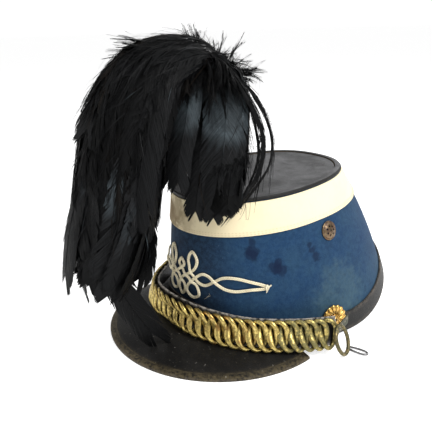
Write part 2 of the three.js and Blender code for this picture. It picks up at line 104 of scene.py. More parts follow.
class ShakoColours(bpy.types.PropertyGroup):
    """Colours of the finishes"""

    cloth: FloatVectorProperty(
        name="Cloth", description="Main colour of the wall's cloth",
        default=(0.0085, 0.032, 0.083), size=3, min=0, max=1, subtype="COLOR")
    cloth_faded: FloatVectorProperty(
        name="Faded cloth", description="Colour where the cloth has faded",
        default=(0.042, 0.090, 0.108), size=3, min=0, max=1, subtype="COLOR")
    stain: FloatVectorProperty(
        name="Stain", description="Colour of the water stains on the cloth",
        default=(0.005, 0.012, 0.034), size=3, min=0, max=1, subtype="COLOR")
    ivory: FloatVectorProperty(
        name="Ivory cloth", description="Colour of the band at the top",
        default=(0.80, 0.70, 0.47), size=3, min=0, max=1, subtype="COLOR")
    cord: FloatVectorProperty(
        name="Cord", description="Colour of the knot's cord",
        default=(0.86, 0.79, 0.58), size=3, min=0, max=1, subtype="COLOR")
    leather: FloatVectorProperty(
        name="Leather", description="Colour of the black leather",
        default=(0.006, 0.0058, 0.0055), size=3, min=0, max=1, subtype="COLOR")
    leather_worn: FloatVectorProperty(
        name="Worn leather", description="Colour of rubbed edges of the leather",
        default=(0.125, 0.105, 0.085), size=3, min=0, max=1, subtype="COLOR")
    crown: FloatVectorProperty(
        name="Crown", description="Colour of the crown's disc",
        default=(0.085, 0.085, 0.088), size=3, min=0, max=1, subtype="COLOR")
    brass: FloatVectorProperty(
        name="Chain brass", description="Colour of the chain's clean brass",
        default=(0.62, 0.48, 0.16), size=3, min=0, max=1, subtype="COLOR")
    brass_dull: FloatVectorProperty(
        name="Chain patina", description="Colour of the patina on the chain",
        default=(0.23, 0.175, 0.06), size=3, min=0, max=1, subtype="COLOR")
    gilt: FloatVectorProperty(
        name="Gilt", description="Colour of the bosses",
        default=(0.74, 0.47, 0.13), size=3, min=0, max=1, subtype="COLOR")
    bronze: FloatVectorProperty(
        name="Bronze", description="Colour of the vents and the loose ring",
        default=(0.13, 0.095, 0.055), size=3, min=0, max=1, subtype="COLOR")
    feather: FloatVectorProperty(
        name="Feather", description="Colour of the feathers",
        default=(0.0022, 0.0023, 0.0025), size=3, min=0, max=1, subtype="COLOR")


def sizes():
    return bpy.context.scene.shako_sizes


def colours():
    return bpy.context.scene.shako_colours


# ---------- places on the hat ----------

def at(x, y, z):
    """A place given in the hat's own millimetres, in the row frame."""
    return ORIGIN + Vector((x, y, z)) * MM


def rim_point(turn):
    """The wall's foot at an angle round the hat: 0 is the front, and it grows to the wearer's left."""
    ahead = math.cos(turn) > 0
    lift = RIM["front_lift"] if ahead else RIM["back_lift"]
    reach = RIM["front"] if ahead else RIM["back"]
    return Vector((
        RIM["half_width"] * math.sin(turn),
        -reach * math.cos(turn),
        RIM["side_z"] + lift * math.cos(turn) ** 2,
    ))


def crown_point(turn):
    ahead = math.cos(turn) > 0
    power = 1 if ahead else 2 / CROWN["power"]
    side = math.copysign(abs(math.sin(turn)) ** power, math.sin(turn))
    forward = math.copysign(abs(math.cos(turn)) ** power, math.cos(turn))
    y = -(CROWN["front"] if ahead else CROWN["back"]) * forward
    return Vector((CROWN["half_width"] * side, CROWN["centre_y"] + y, CROWN["z"] + CROWN["slope"] * y))


def outward(turn):
    depth = (RIM["front"] + RIM["back"]) / 2
    return Vector((math.sin(turn) / RIM["half_width"], -math.cos(turn) / depth, 0)).normalized()


def wall_point(turn, rise, proud):
    """A point of the wall in hat millimetres: rise is 0 at the foot and 1 at the crown."""
    bulge = BULGE["front"] + (BULGE["back"] - BULGE["front"]) * (1 - math.cos(turn)) / 2
    swell = bulge * math.sin(math.pi * min(max(rise, 0), 1))
    return rim_point(turn).lerp(crown_point(turn), rise) + outward(turn) * (proud + swell)


def wall_at(turn, z, proud):
    """A point of the wall at a height, in the row frame."""
    foot = rim_point(turn).z
    rise = (z - foot) / (crown_point(turn).z - foot)
    return at(*wall_point(turn, rise, proud))


def principal(node):
    """Middle of a CAD node and its three own directions, the longest first."""
    corners = np.array([v.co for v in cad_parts[node].data.vertices], float)
    corners = np.unique(corners.round(6), axis=0)
    middle = corners.mean(0)
    _, _, axes = np.linalg.svd(corners - middle, full_matrices=False)
    return Vector(middle), [Vector(axis) for axis in axes]


def facing(direction, guide):
    return direction if direction.dot(guide) > 0 else -direction


# ---------- modelling helpers ----------

def pick(piece):
    bpy.ops.object.select_all(action="DESELECT")
    piece.select_set(True)
    bpy.context.view_layer.objects.active = piece


def apply_modifier(piece, kind, **settings):
    modifier = piece.modifiers.new(kind.title(), kind)
    for name, value in settings.items():
        setattr(modifier, name, value)
    pick(piece)
    bpy.ops.object.modifier_apply(modifier=modifier.name)


def cast(node, name):
    """A merged copy of a CAD node, as a start for its finished piece."""
    piece = bpy.data.objects.new(name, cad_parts[node].data.copy())
    bpy.context.scene.collection.objects.link(piece)
    pick(piece)
    bpy.ops.object.mode_set(mode="EDIT")
    bpy.ops.mesh.select_all(action="SELECT")
    bpy.ops.mesh.customdata_custom_splitnormals_clear()
    bpy.ops.mesh.remove_doubles(threshold=2e-6)
    bpy.ops.mesh.tris_convert_to_quads(face_threshold=math.radians(45), shape_threshold=math.radians(70))
    bpy.ops.object.mode_set(mode="OBJECT")
    return piece


def select_sharp(piece, angle):
    """Selects the edges sharper than an angle, in degrees, and leaves edit mode on."""
    pick(piece)
    bpy.ops.object.mode_set(mode="EDIT")
    bpy.ops.mesh.select_mode(type="EDGE")
    bpy.ops.mesh.select_all(action="DESELECT")
    bpy.ops.mesh.edges_select_sharp(sharpness=math.radians(angle))


def soften_edges(piece, sharp, width):
    """Rounds the edges that are sharper than an angle, in degrees."""
    select_sharp(piece, sharp)
    bpy.ops.mesh.bevel(offset=width, offset_type="OFFSET", segments=2, profile=0.5, clamp_overlap=True)
    bpy.ops.object.mode_set(mode="OBJECT")


def subdivide(piece, levels=2):
    apply_modifier(piece, "SUBSURF", levels=levels, render_levels=levels)


def face_outward(piece):
    """Turns all the faces of a piece to look out of it."""
    pick(piece)
    bpy.ops.object.mode_set(mode="EDIT")
    bpy.ops.mesh.select_all(action="SELECT")
    bpy.ops.mesh.normals_make_consistent(inside=False)
    bpy.ops.object.mode_set(mode="OBJECT")


def apply_transforms(pieces):
    bpy.ops.object.select_all(action="DESELECT")
    for piece in pieces:
        piece.select_set(True)
    bpy.ops.object.transform_apply(location=True, rotation=True, scale=True)


def mesh_piece(name, corners, faces):
    mesh = bpy.data.meshes.new(name)
    mesh.from_pydata([tuple(c) for c in corners], [], faces)
    mesh.validate()
    mesh.update()
    piece = bpy.data.objects.new(name, mesh)
    bpy.context.scene.collection.objects.link(piece)
    return piece


def join(pieces, name):
    bpy.ops.object.select_all(action="DESELECT")
    for piece in pieces:
        piece.select_set(True)
    bpy.context.view_layer.objects.active = pieces[0]
    if len(pieces) > 1:
        bpy.ops.object.join()
    pieces[0].name = name
    return pieces[0]


def settle(piece, material, replaced=(), smooth=32):
    """Gives a finished piece its material and its body, and hides the CAD nodes that it stands for."""
    piece.data.name = piece.name
    if material is not None:
        piece.data.materials.clear()
        piece.data.materials.append(material)
    pick(piece)
    bpy.ops.object.shade_smooth_by_angle(angle=math.radians(smooth), keep_sharp_edges=False)
    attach(piece, BODY)
    if replaced:
        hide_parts(*replaced)
    return piece


def point_value(piece, name, values):
    """Stores one number for each corner of the mesh, for its material to read."""
    attribute = piece.data.attributes.new(name, "FLOAT", "POINT")
    attribute.data.foreach_set("value", np.asarray(values, np.float32))


def corners_of(piece):
    flat = np.empty(len(piece.data.vertices) * 3)
    piece.data.vertices.foreach_get("co", flat)
    return flat.reshape(-1, 3)


def take_shape(piece):
    """The corners and faces of a piece, which is then removed."""
    corners = corners_of(piece)
    faces = [list(face.vertices) for face in piece.data.polygons]
    bpy.data.objects.remove(piece)
    return corners, faces


def stamp(context, blank, name, across, up, out, place):
    """A copy of a piece, turned to three directions and moved to a place."""
    turned = Matrix((across, up, out)).transposed().to_4x4()
    turned.translation = place
    piece = blank.copy()
    piece.data = blank.data.copy()
    piece.name = name
    context.scene.collection.objects.link(piece)
    piece.data.transform(turned)
    return piece


def smooth_step(part):
    return part * part * (3 - 2 * part)


def sweep(sections, closed):
    """Corners and faces of a tube whose sections, each a list of points, follow one another."""
    count = len(sections[0])
    corners = [point for section in sections for point in section]
    faces = []
    spans = len(sections) if closed else len(sections) - 1
    for i in range(spans):
        here = i * count
        there = (i + 1) % len(sections) * count
        for j in range(count):
            k = (j + 1) % count
            faces.append((here + j, there + j, there + k, here + k))
    if not closed:
        faces.append(tuple(range(count)))
        faces.append(tuple(reversed(range(len(corners) - count, len(corners)))))
    return corners, faces


def tube(name, points, radius, sides=8, closed=False, thin_to=1.0):
    """A round tube along a row of points."""
    places = [Vector(point) for point in points]
    count = len(places)
    sections = []
    normal = None
    for i, place in enumerate(places):
        before = places[i - 1] if i or closed else place
        after = places[(i + 1) % count] if i < count - 1 or closed else place
        along = (after - before).normalized()
        if normal is None:
            normal = along.orthogonal().normalized()
        normal = (normal - along * normal.dot(along)).normalized()
        side = along.cross(normal)
        size = radius * (1 + (thin_to - 1) * i / max(count - 1, 1))
        sections.append([
            place + normal * (size * math.cos(a)) + side * (size * math.sin(a))
            for a in (2 * math.pi * j / sides for j in range(sides))
        ])
    piece = mesh_piece(name, *sweep(sections, closed))
    face_outward(piece)
    return piece


def smooth_rows(rows, count, closed=False):
    """Points on a smooth curve through the rows, evenly spaced along it."""
    rows = np.asarray(rows, float)
    number = len(rows)
    spans = number if closed else number - 1
    dense = []
    for i in range(spans):
        if closed:
            p0, p1, p2, p3 = (rows[(i + k) % number] for k in (-1, 0, 1, 2))
        else:
            p0, p1, p2, p3 = (rows[min(max(i + k, 0), number - 1)] for k in (-1, 0, 1, 2))
        for t in np.linspace(0, 1, 24, endpoint=False):
            dense.append(0.5 * (2 * p1 + (p2 - p0) * t + (2 * p0 - 5 * p1 + 4 * p2 - p3) * t ** 2
                                + (3 * p1 - p0 - 3 * p2 + p3) * t ** 3))
    dense.append(rows[0] if closed else rows[-1])
    dense = np.array(dense)
    steps = np.linalg.norm(np.diff(dense[:, :3], axis=0), axis=1)
    run = np.concatenate([[0], np.cumsum(steps)])
    wanted = np.linspace(0, run[-1], count, endpoint=not closed)
    return np.stack([np.interp(wanted, run, dense[:, k]) for k in range(dense.shape[1])], axis=1)


# ---------- shader groups ----------

def link(tree, source, target):
    tree.links.new(source, target)


def add_node(tree, kind, **values):
    node = tree.nodes.new(kind)
    for name, value in values.items():
        setattr(node, name, value)
    return node


def maths(tree, operation, first, second=None, third=None, clamp=False):
    node = add_node(tree, "ShaderNodeMath", operation=operation, use_clamp=clamp)
    for socket, value in zip(node.inputs, (first, second, third)):
        if value is None:
            continue
        if isinstance(value, (int, float)):
            socket.default_value = value
        else:
            link(tree, value, socket)
    return node.outputs[0]


def ramp(tree, value, low, high, to_low=0.0, to_high=1.0):
    node = add_node(tree, "ShaderNodeMapRange", interpolation_type="SMOOTHSTEP")
    for name, number in (("From Min", low), ("From Max", high), ("To Min", to_low), ("To Max", to_high)):
        if isinstance(number, (int, float)):
            node.inputs[name].default_value = number
        else:
            link(tree, number, node.inputs[name])
    link(tree, value, node.inputs["Value"])
    return node.outputs["Result"]


def blend_colour(tree, factor, first, second, mode="MIX"):
    node = add_node(tree, "ShaderNodeMix", data_type="RGBA", blend_type=mode)
    for index, value in ((0, factor), (6, first), (7, second)):
        if isinstance(value, (int, float)):
            node.inputs[index].default_value = value
        elif isinstance(value, (tuple, list)):
            node.inputs[index].default_value = (*value, 1.0)
        else:
            link(tree, value, node.inputs[index])
    return node.outputs[2]


def group(name, inputs, outputs):
    """An empty shader node group with named sockets, and its two ends."""
    tree = bpy.data.node_groups.new(name, "ShaderNodeTree")
    kinds = {"value": "NodeSocketFloat", "vector": "NodeSocketVector", "colour": "NodeSocketColor"}
    for label, kind, default in inputs:
        socket = tree.interface.new_socket(name=label, in_out="INPUT", socket_type=kinds[kind])
        if default is not None:
            socket.default_value = default
    for label, kind in outputs:
        tree.interface.new_socket(name=label, in_out="OUTPUT", socket_type=kinds[kind])
    return tree, tree.nodes.new("NodeGroupInput"), tree.nodes.new("NodeGroupOutput")


def use(tree, effect, **values):
    """Places a shared group in a material. The values are named as its sockets, with _ for a space."""
    node = add_node(tree, "ShaderNodeGroup", node_tree=bpy.data.node_groups[effect])
    for name, value in values.items():
        socket = node.inputs[name.replace("_", " ").capitalize()]
        if isinstance(value, (int, float)):
            socket.default_value = value
        elif isinstance(value, (tuple, list)):
            socket.default_value = value if len(value) == len(socket.default_value) else (*value, 1.0)
        else:
            link(tree, value, socket)
    return node


def mottle(tree, place, scale, low, high):
    """The mask of a cloudy pattern that fades in between two levels of its noise."""
    return use(tree, "Mottle", place=place, scale=scale, low=low, high=high).outputs["Mask"]


def stain_mask(tree, place, centre, radius, ragged):
    """The mask of a round spot with a ragged edge."""
    return use(tree, "Stain", place=place, centre=tuple(centre), radius=radius, ragged=ragged).outputs["Mask"]


def over(tree, mask, amount, under, tone):
    """Lays a tone over a colour where the mask is, by an amount."""
    return blend_colour(tree, maths(tree, "MULTIPLY", mask, amount), under, tone)


def noise_node(tree, place, scale=None, **numbers):
    """A noise texture at a place; the scale is a socket, and the numbers are its other values."""
    node = add_node(tree, "ShaderNodeTexNoise")
    for name, number in numbers.items():
        node.inputs[name].default_value = number
    link(tree, place, node.inputs["Vector"])
    if scale is not None:
        link(tree, scale, node.inputs["Scale"])
    return node.outputs["Fac"]


def make_groups():
    """Builds each shared effect once."""
    tree, start, end = group(
        "Mottle",
        [("Place", "vector", None), ("Scale", "value", 60.0), ("Low", "value", 0.4), ("High", "value", 0.6)],
        [("Mask", "value")])
    cloud = noise_node(tree, start.outputs["Place"], start.outputs["Scale"], Detail=5.0, Roughness=0.6)
    link(tree, ramp(tree, cloud, start.outputs["Low"], start.outputs["High"]), end.inputs["Mask"])

    tree, start, end = group(
        "Stain",
        [("Place", "vector", None), ("Centre", "vector", None), ("Radius", "value", 0.01),
         ("Ragged", "value", 0.4)],
        [("Mask", "value")])
    cloud = noise_node(tree, start.outputs["Place"], Scale=170.0, Detail=4.0)
    away = add_node(tree, "ShaderNodeVectorMath", operation="DISTANCE")
    link(tree, start.outputs["Place"], away.inputs[0])
    link(tree, start.outputs["Centre"], away.inputs[1])
    part = maths(tree, "DIVIDE", away.outputs["Value"], start.outputs["Radius"])
    shift = maths(tree, "MULTIPLY", maths(tree, "SUBTRACT", cloud, 0.5), start.outputs["Ragged"])
    total = maths(tree, "ADD", part, maths(tree, "MULTIPLY", shift, 4.0))
    link(tree, ramp(tree, total, 0.62, 1.25, 1.0, 0.0), end.inputs["Mask"])

    tree, start, end = group(
        "Felt nap",
        [("Place", "vector", None), ("Scale", "value", 1500.0)],
        [("Height", "value"), ("Fleck", "value")])
    fine = noise_node(tree, start.outputs["Place"], start.outputs["Scale"], Detail=3.0, Roughness=0.7)
    wider = maths(tree, "MULTIPLY", start.outputs["Scale"], 0.22)
    broad = noise_node(tree, start.outputs["Place"], wider, Detail=2.0)
    both = maths(tree, "ADD", maths(tree, "MULTIPLY", fine, 0.6), maths(tree, "MULTIPLY", broad, 0.4))
    link(tree, both, end.inputs["Height"])
    link(tree, ramp(tree, both, 0.4, 0.6), end.inputs["Fleck"])

    tree, start, end = group(
        "Leather grain", [("Place", "vector", None), ("Scale", "value", 900.0), ("Crease", "value", 0.3)],
        [("Height", "value"), ("Scuff", "value")])
    cells = add_node(tree, "ShaderNodeTexVoronoi", feature="DISTANCE_TO_EDGE")
    link(tree, start.outputs["Place"], cells.inputs["Vector"])
    link(tree, start.outputs["Scale"], cells.inputs["Scale"])
    folds = noise_node(tree, start.outputs["Place"], Scale=55.0, Detail=7.0, Distortion=1.2)
    height = maths(tree, "ADD", ramp(tree, cells.outputs["Distance"], 0.0, 0.25, 0.0, 0.5),
                   maths(tree, "MULTIPLY", folds, start.outputs["Crease"]))
    link(tree, height, end.inputs["Height"])
    scuffs = noise_node(tree, start.outputs["Place"], Scale=260.0, Detail=8.0, Roughness=0.75)
    link(tree, ramp(tree, scuffs, 0.56, 0.68), end.inputs["Scuff"])

    tree, start, end = group(
        "Patina", [("Place", "vector", None), ("Scale", "value", 300.0), ("Amount", "value", 0.5)],
        [("Mask", "value"), ("Height", "value")])
    cloud = noise_node(tree, start.outputs["Place"], start.outputs["Scale"], Detail=7.0, Roughness=0.7)
    edge = maths(tree, "SUBTRACT", 1.0, start.outputs["Amount"])
    low = maths(tree, "SUBTRACT", edge, 0.12)
    high = maths(tree, "ADD", edge, 0.12)
    link(tree, ramp(tree, cloud, low, high), end.inputs["Mask"])
    link(tree, cloud, end.inputs["Height"])


def new_material(name, roughness=0.6, metallic=0.0, **constants):
    """A material with its shader; the constants are the shader's own sockets."""
    material = bpy.data.materials.new(name)
    material.use_nodes = True
    tree = material.node_tree
    shader = tree.nodes["Principled BSDF"]
    shader.inputs["Roughness"].default_value = roughness
    shader.inputs["Metallic"].default_value = metallic
    for label, value in constants.items():
        shader.inputs[label.replace("_", " ")].default_value = value
    place = add_node(tree, "ShaderNodeTexCoord").outputs["Object"]
    return material, tree, shader, place


def bump(tree, shader, height, strength, distance):
    node = add_node(tree, "ShaderNodeBump")
    node.inputs["Strength"].default_value = strength
    node.inputs["Distance"].default_value = distance
    link(tree, height, node.inputs["Height"])
    link(tree, node.outputs["Normal"], shader.inputs["Normal"])


def attribute(tree, name):
    return add_node(tree, "ShaderNodeAttribute", attribute_name=name).outputs["Fac"]


def along_axis(tree, place, axis, low, high):
    """A mask that grows from 0 to 1 between two distances from the hat's origin along an axis."""
    start = ORIGIN.dot(Vector(axis))
    part = add_node(tree, "ShaderNodeVectorMath", operation="DOT_PRODUCT")
    link(tree, place, part.inputs[0])
    part.inputs[1].default_value = axis
    return ramp(tree, part.outputs["Value"], start + low, start + high)


# ---------- finishes ----------

# Water stains on the cloth: the angle round the hat in degrees, the height, and the radius, in millimetres.
STAINS = (
    {"turn": 48.5, "z": 80.5, "radius": 5.2},
    {"turn": 47.2, "z": 77.0, "radius": 4.8},
    {"turn": 48.6, "z": 87.0, "radius": 3.4},
    {"turn": 61.0, "z": 64.2, "radius": 5.6},
    {"turn": 58.6, "z": 66.5, "radius": 5.2},
    {"turn": 60.6, "z": 70.5, "radius": 3.6},
    {"turn": 83.0, "z": 70.0, "radius": 4.0},
    {"turn": 81.6, "z": 75.5, "radius": 3.2},
    {"turn": 80.8, "z": 80.0, "radius": 2.4},
)


def blue_cloth():
    tone = colours()
    material, tree, shader, place = new_material(
        "blue cloth", roughness=0.95, Sheen_Weight=0.05, Sheen_Roughness=0.5, Specular_IOR_Level=0.1)
    nap = use(tree, "Felt nap", place=place, scale=1300.0)
    cloud = mottle(tree, place, 38.0, 0.36, 0.68)
    colour = over(tree, cloud, 0.17, tuple(tone.cloth), tuple(tone.cloth_faded))
    low_fade = along_axis(tree, place, (0.55, 0.25, -1.0), -0.022, 0.035)
    patchy = maths(tree, "MULTIPLY", low_fade, mottle(tree, place, 26.0, 0.3, 0.62))
    colour = over(tree, patchy, 0.62, colour, tuple(tone.cloth_faded))
    low_patch = stain_mask(tree, place, wall_at(math.radians(90), 34, 0), 0.027, 0.3)
    colour = over(tree, low_patch, 0.3, colour, (0.095, 0.150, 0.140))
    small = mottle(tree, place, 115.0, 0.44, 0.66)
    colour = over(tree, small, 0.22, colour, (0.022, 0.056, 0.084))
    dark = mottle(tree, place, 70.0, 0.52, 0.68)
    colour = over(tree, dark, 0.4, colour, (0.006, 0.020, 0.052))
    # Darker towards the front, on the side away from the camera: painted shade, for the plume's shadow and
    # the side turned from the light.
    ahead = along_axis(tree, place, (-0.35, -1.0, 0.0), 0.070, 0.098)
    colour = over(tree, ahead, 0.8, colour, (0.008, 0.013, 0.024))
    grit = mottle(tree, place, 330.0, 0.40, 0.62)
    colour = over(tree, grit, 0.35, colour, (0.007, 0.022, 0.052))
    colour = over(tree, nap.outputs["Fleck"], 0.40, colour, (0.026, 0.068, 0.126))
    for stain in STAINS:
        centre = wall_at(math.radians(stain["turn"]), stain["z"], 0)
        mask = stain_mask(tree, place, centre, stain["radius"] * MM, 0.55)
        colour = over(tree, mask, 0.72, colour, tuple(tone.stain))
    specks = mottle(tree, place, 900.0, 0.7, 0.74)
    moth = stain_mask(tree, place, wall_at(math.radians(28.5), 81.5, 0), 0.009, 0.6)
    pale = maths(tree, "MULTIPLY", specks, maths(tree, "ADD", moth, 0.05))
    colour = blend_colour(tree, pale, colour, (0.42, 0.42, 0.38))
    link(tree, colour, shader.inputs["Base Color"])
    bump(tree, shader, nap.outputs["Height"], 0.35, 0.0006)
    return material


def backing():
    """The bare inner side of the wall."""
    material, tree, shader, place = new_material("shell backing", roughness=0.9, Specular_IOR_Level=0.2)
    nap = use(tree, "Felt nap", place=place, scale=900.0)
    spots = mottle(tree, place, 45.0, 0.4, 0.7)
    colour = blend_colour(tree, spots, (0.115, 0.085, 0.055), (0.055, 0.04, 0.027))
    link(tree, colour, shader.inputs["Base Color"])
    bump(tree, shader, nap.outputs["Height"], 0.4, 0.0006)
    return material


# Darker brown spots on the ivory band near the front: the angle in degrees, the height and radius in
# millimetres, and how dark it is.
IVORY_DARK_SPOTS = ((-27, 103, 15, 0.85), (-17, 97, 13, 0.7), (-8, 105, 13, 0.55), (4, 101, 10, 0.3))


def ivory_cloth(name, base, spotted):
    material, tree, shader, place = new_material(
        name, roughness=0.9, Sheen_Weight=0.1, Specular_IOR_Level=0.2)
    nap = use(tree, "Felt nap", place=place, scale=1500.0)
    cloud = mottle(tree, place, 42.0, 0.35, 0.75)
    colour = over(tree, cloud, 0.16, tuple(base), (0.55, 0.45, 0.27))
    colour = over(tree, nap.outputs["Fleck"], 0.10, colour, (0.60, 0.50, 0.31))
    if spotted:
        # Each spot darkens the band towards brown.
        for turn, z, radius, depth in IVORY_DARK_SPOTS:
            spot = stain_mask(tree, place, wall_at(math.radians(turn), z, 0), radius * MM, 0.45)
            colour = over(tree, spot, depth, colour, (0.19, 0.125, 0.05))
    link(tree, colour, shader.inputs["Base Color"])
    bump(tree, shader, nap.outputs["Height"], 0.25, 0.0005)
    return material


def braided_cord():
    """Cream cord whose braid follows the piece's own map: U along it in braid steps and V across it."""
    material, tree, shader, place = new_material("braided cord", roughness=0.8, Specular_IOR_Level=0.25)
    where = add_node(tree, "ShaderNodeUVMap", uv_map="along").outputs["UV"]
    split = add_node(tree, "ShaderNodeSeparateXYZ")
    link(tree, where, split.inputs["Vector"])
    lean = maths(tree, "ABSOLUTE", maths(tree, "SUBTRACT", split.outputs["Y"], 0.5))
    run = maths(tree, "ADD", split.outputs["X"], maths(tree, "MULTIPLY", lean, 2.4))
    strands = maths(tree, "PINGPONG", run, 0.5)
    height = ramp(tree, strands, 0.0, 0.3)
    dirt = mottle(tree, place, 120.0, 0.42, 0.7)
    # The colour darkens in the grooves between the strands: painted shade.
    colour = blend_colour(tree, maths(tree, "MULTIPLY", maths(tree, "SUBTRACT", 1.0, height), 0.55),
                          tuple(colours().cord), (0.36, 0.30, 0.19))
    colour = over(tree, dirt, 0.25, colour, (0.33, 0.27, 0.17))
    link(tree, colour, shader.inputs["Base Color"])
    bump(tree, shader, height, 0.5, 0.0003)
    return material


def black_leather(name, rough, wear, worn_at="edge", grain=900.0, worn_colour=None, dust=0.0):
    """Worn black leather. The named attribute says how rubbed a place is."""
    tone = colours()
    material, tree, shader, place = new_material(name, Specular_IOR_Level=0.22)
    skin = use(tree, "Leather grain", place=place, scale=grain, crease=0.5)
    spots = mottle(tree, place, 70.0, 0.4, 0.72)
    colour = over(tree, spots, 0.5, tuple(tone.leather), tuple(c * 2.6 for c in tone.leather))
    rubbed = maths(tree, "MULTIPLY", attribute(tree, worn_at), wear)
    broken = maths(tree, "MULTIPLY", rubbed, mottle(tree, place, 230.0, 0.38, 0.6))
    dusty = maths(tree, "MULTIPLY", skin.outputs["Scuff"], 0.12 + dust)
    amount = maths(tree, "ADD", broken, dusty, clamp=True)
    colour = blend_colour(tree, amount, colour, tuple(worn_colour or tone.leather_worn))
    link(tree, colour, shader.inputs["Base Color"])
    rougher = maths(tree, "ADD", maths(tree, "MULTIPLY", amount, 0.25), rough, clamp=True)
    link(tree, rougher, shader.inputs["Roughness"])
    bump(tree, shader, skin.outputs["Height"], 0.35, 0.0004)
    return material


def crown_leather():
    tone = colours()
    material, tree, shader, place = new_material("crown leather", roughness=0.62, Specular_IOR_Level=0.4)
    skin = use(tree, "Leather grain", place=place, scale=700.0, crease=1.6)
    cloud = mottle(tree, place, 34.0, 0.38, 0.62)
    streak = mottle(tree, place, 75.0, 0.45, 0.7)
    colour = blend_colour(tree, cloud, tuple(c * 0.42 for c in tone.crown), tuple(tone.crown))
    colour = over(tree, streak, 0.45, colour, tuple(c * 1.7 for c in tone.crown))
    colour = over(tree, skin.outputs["Scuff"], 0.2, colour, (0.16, 0.155, 0.15))
    link(tree, colour, shader.inputs["Base Color"])
    bump(tree, shader, skin.outputs["Height"], 0.5, 0.0009)
    return material


def old_metal(name, clean, dull, amount, rough=(0.3, 0.62), scale=300.0, warm=0.0, metallic=1.0, recess_dirt_and_shade=0.0):
    """Metal with a broken patina, rougher where it is dull, and dirt with painted shade where the edge value
    is low.
    """
    material, tree, shader, place = new_material(name, metallic=metallic)
    skin = use(tree, "Patina", place=place, scale=scale, amount=amount)
    colour = blend_colour(tree, skin.outputs["Mask"], tuple(clean), tuple(dull))
    if warm:
        rust = mottle(tree, place, 95.0, 0.5, 0.66)
        colour = over(tree, rust, warm, colour, (0.30, 0.11, 0.035))
    if recess_dirt_and_shade:
        # Where the edge value is low the colour goes near black: dirt with painted shade.
        deep = maths(tree, "SUBTRACT", 1.0, attribute(tree, "edge"))
        colour = over(tree, deep, recess_dirt_and_shade, colour, tuple(c * 0.22 for c in dull))
    link(tree, colour, shader.inputs["Base Color"])
    link(tree, ramp(tree, skin.outputs["Mask"], 0.0, 1.0, *rough), shader.inputs["Roughness"])
    bump(tree, shader, skin.outputs["Height"], 0.3, 0.0003)
    return material


def feather_skin(name, base, glow):
    """Black feather. Its map runs across the barbs in U and out along each barb in V."""
    material, tree, shader, place = new_material(name, Specular_IOR_Level=0.08)
    tint = attribute(tree, "tint")
    where = add_node(tree, "ShaderNodeUVMap", uv_map="barb").outputs["UV"]
    stretched = add_node(tree, "ShaderNodeVectorMath", operation="MULTIPLY")
    link(tree, where, stretched.inputs[0])
    stretched.inputs[1].default_value = (2.6, 0.9, 1.0)
    streaks = mottle(tree, stretched.outputs["Vector"], 1.0, 0.36, 0.64)
    slow = mottle(tree, place, 32.0, 0.40, 0.62)
    # The shine value lays a painted sheen into the colour: a bluish grey highlight on the middle of the
    # brightest feathers, as strong as glow.
    shine = maths(tree, "MULTIPLY", attribute(tree, "shine"), ramp(tree, slow, 0.0, 1.0, 0.35, 1.0))
    shine = maths(tree, "MULTIPLY", shine, ramp(tree, streaks, 0.0, 1.0, 0.7, 1.0))
    tone = ramp(tree, tint, 0.15, 0.85, 0.0, 1.0)
    colour = over(tree, tone, streaks, tuple(base), tuple(c * 4.6 for c in base))
    colour = over(tree, shine, glow, colour, (0.095, 0.120, 0.135))
    brown = maths(tree, "MULTIPLY", ramp(tree, tint, 0.05, 0.01), slow)
    colour = over(tree, brown, 0.5, colour, (0.026, 0.017, 0.010))
    link(tree, colour, shader.inputs["Base Color"])
    link(tree, ramp(tree, streaks, 0.0, 1.0, 0.36, 0.55), shader.inputs["Roughness"])
    bump(tree, shader, streaks, 0.4, 0.0004)
    return material


# ---------- wear ----------

def sharp_places(node, angle, keep=None):
    """Points along the sharp edges of a CAD node, about a millimetre apart."""
    guide = cast(node, "guide")
    select_sharp(guide, angle)
    bpy.ops.object.mode_set(mode="OBJECT")
    mesh = guide.data
    found = []
    for edge in mesh.edges:
        if not edge.select:
            continue
        first, last = (mesh.vertices[k].co for k in edge.vertices)
        steps = max(1, round((last - first).length / MM))
        found.extend(first.lerp(last, i / steps) for i in range(steps + 1))
    bpy.data.objects.remove(guide)
    return [place for place in found if keep is None or keep(place)]


def distances(piece, places):
    tree = KDTree(len(places))
    for i, place in enumerate(places):
        tree.insert(place, i)
    tree.balance()
    return np.array([tree.find(vertex.co)[2] for vertex in piece.data.vertices])


def rub(piece, places, reach):
    """Stores how rubbed each corner is: 1 on a worn line and 0 beyond its reach."""
    part = np.clip(1 - distances(piece, places) / reach, 0, 1)
    point_value(piece, "edge", smooth_step(part))


# ---------- the wall ----------

class SHAKO_OT_wall(bpy.types.Operator):
    """Make the cloth wall, the ivory band at its top and the leather band at its foot"""

    bl_idname = "shako.wall"
    bl_label = "Wall and bands"

    def execute(self, context):
        wall = cast("shell", "cloth_wall")
        soften_edges(wall, 50, 0.0007)
        subdivide(wall)
        settle(wall, blue_cloth(), ["shell"], smooth=50)
        wall.data.materials.append(backing())
        for face in wall.data.polygons:
            away = Vector((face.center.x - ORIGIN.x, face.center.y - ORIGIN.y, 0)).normalized()
            face.material_index = 1 if face.normal.dot(away) < -0.3 else 0
        band = cast("top_band", "ivory_band")
        soften_edges(band, 50, 0.00035)
        subdivide(band)
        settle(band, ivory_cloth("ivory cloth", colours().ivory, True), ["top_band"], smooth=50)
        foot = cast("base_band", "foot_band")
        soften_edges(foot, 50, 0.0005)
        subdivide(foot)
        rub(foot, sharp_places("base_band", 50), 0.0045)
        settle(foot, black_leather("foot leather", 0.5, 0.5, dust=0.26), ["base_band"],
               smooth=50)
        return {"FINISHED"}


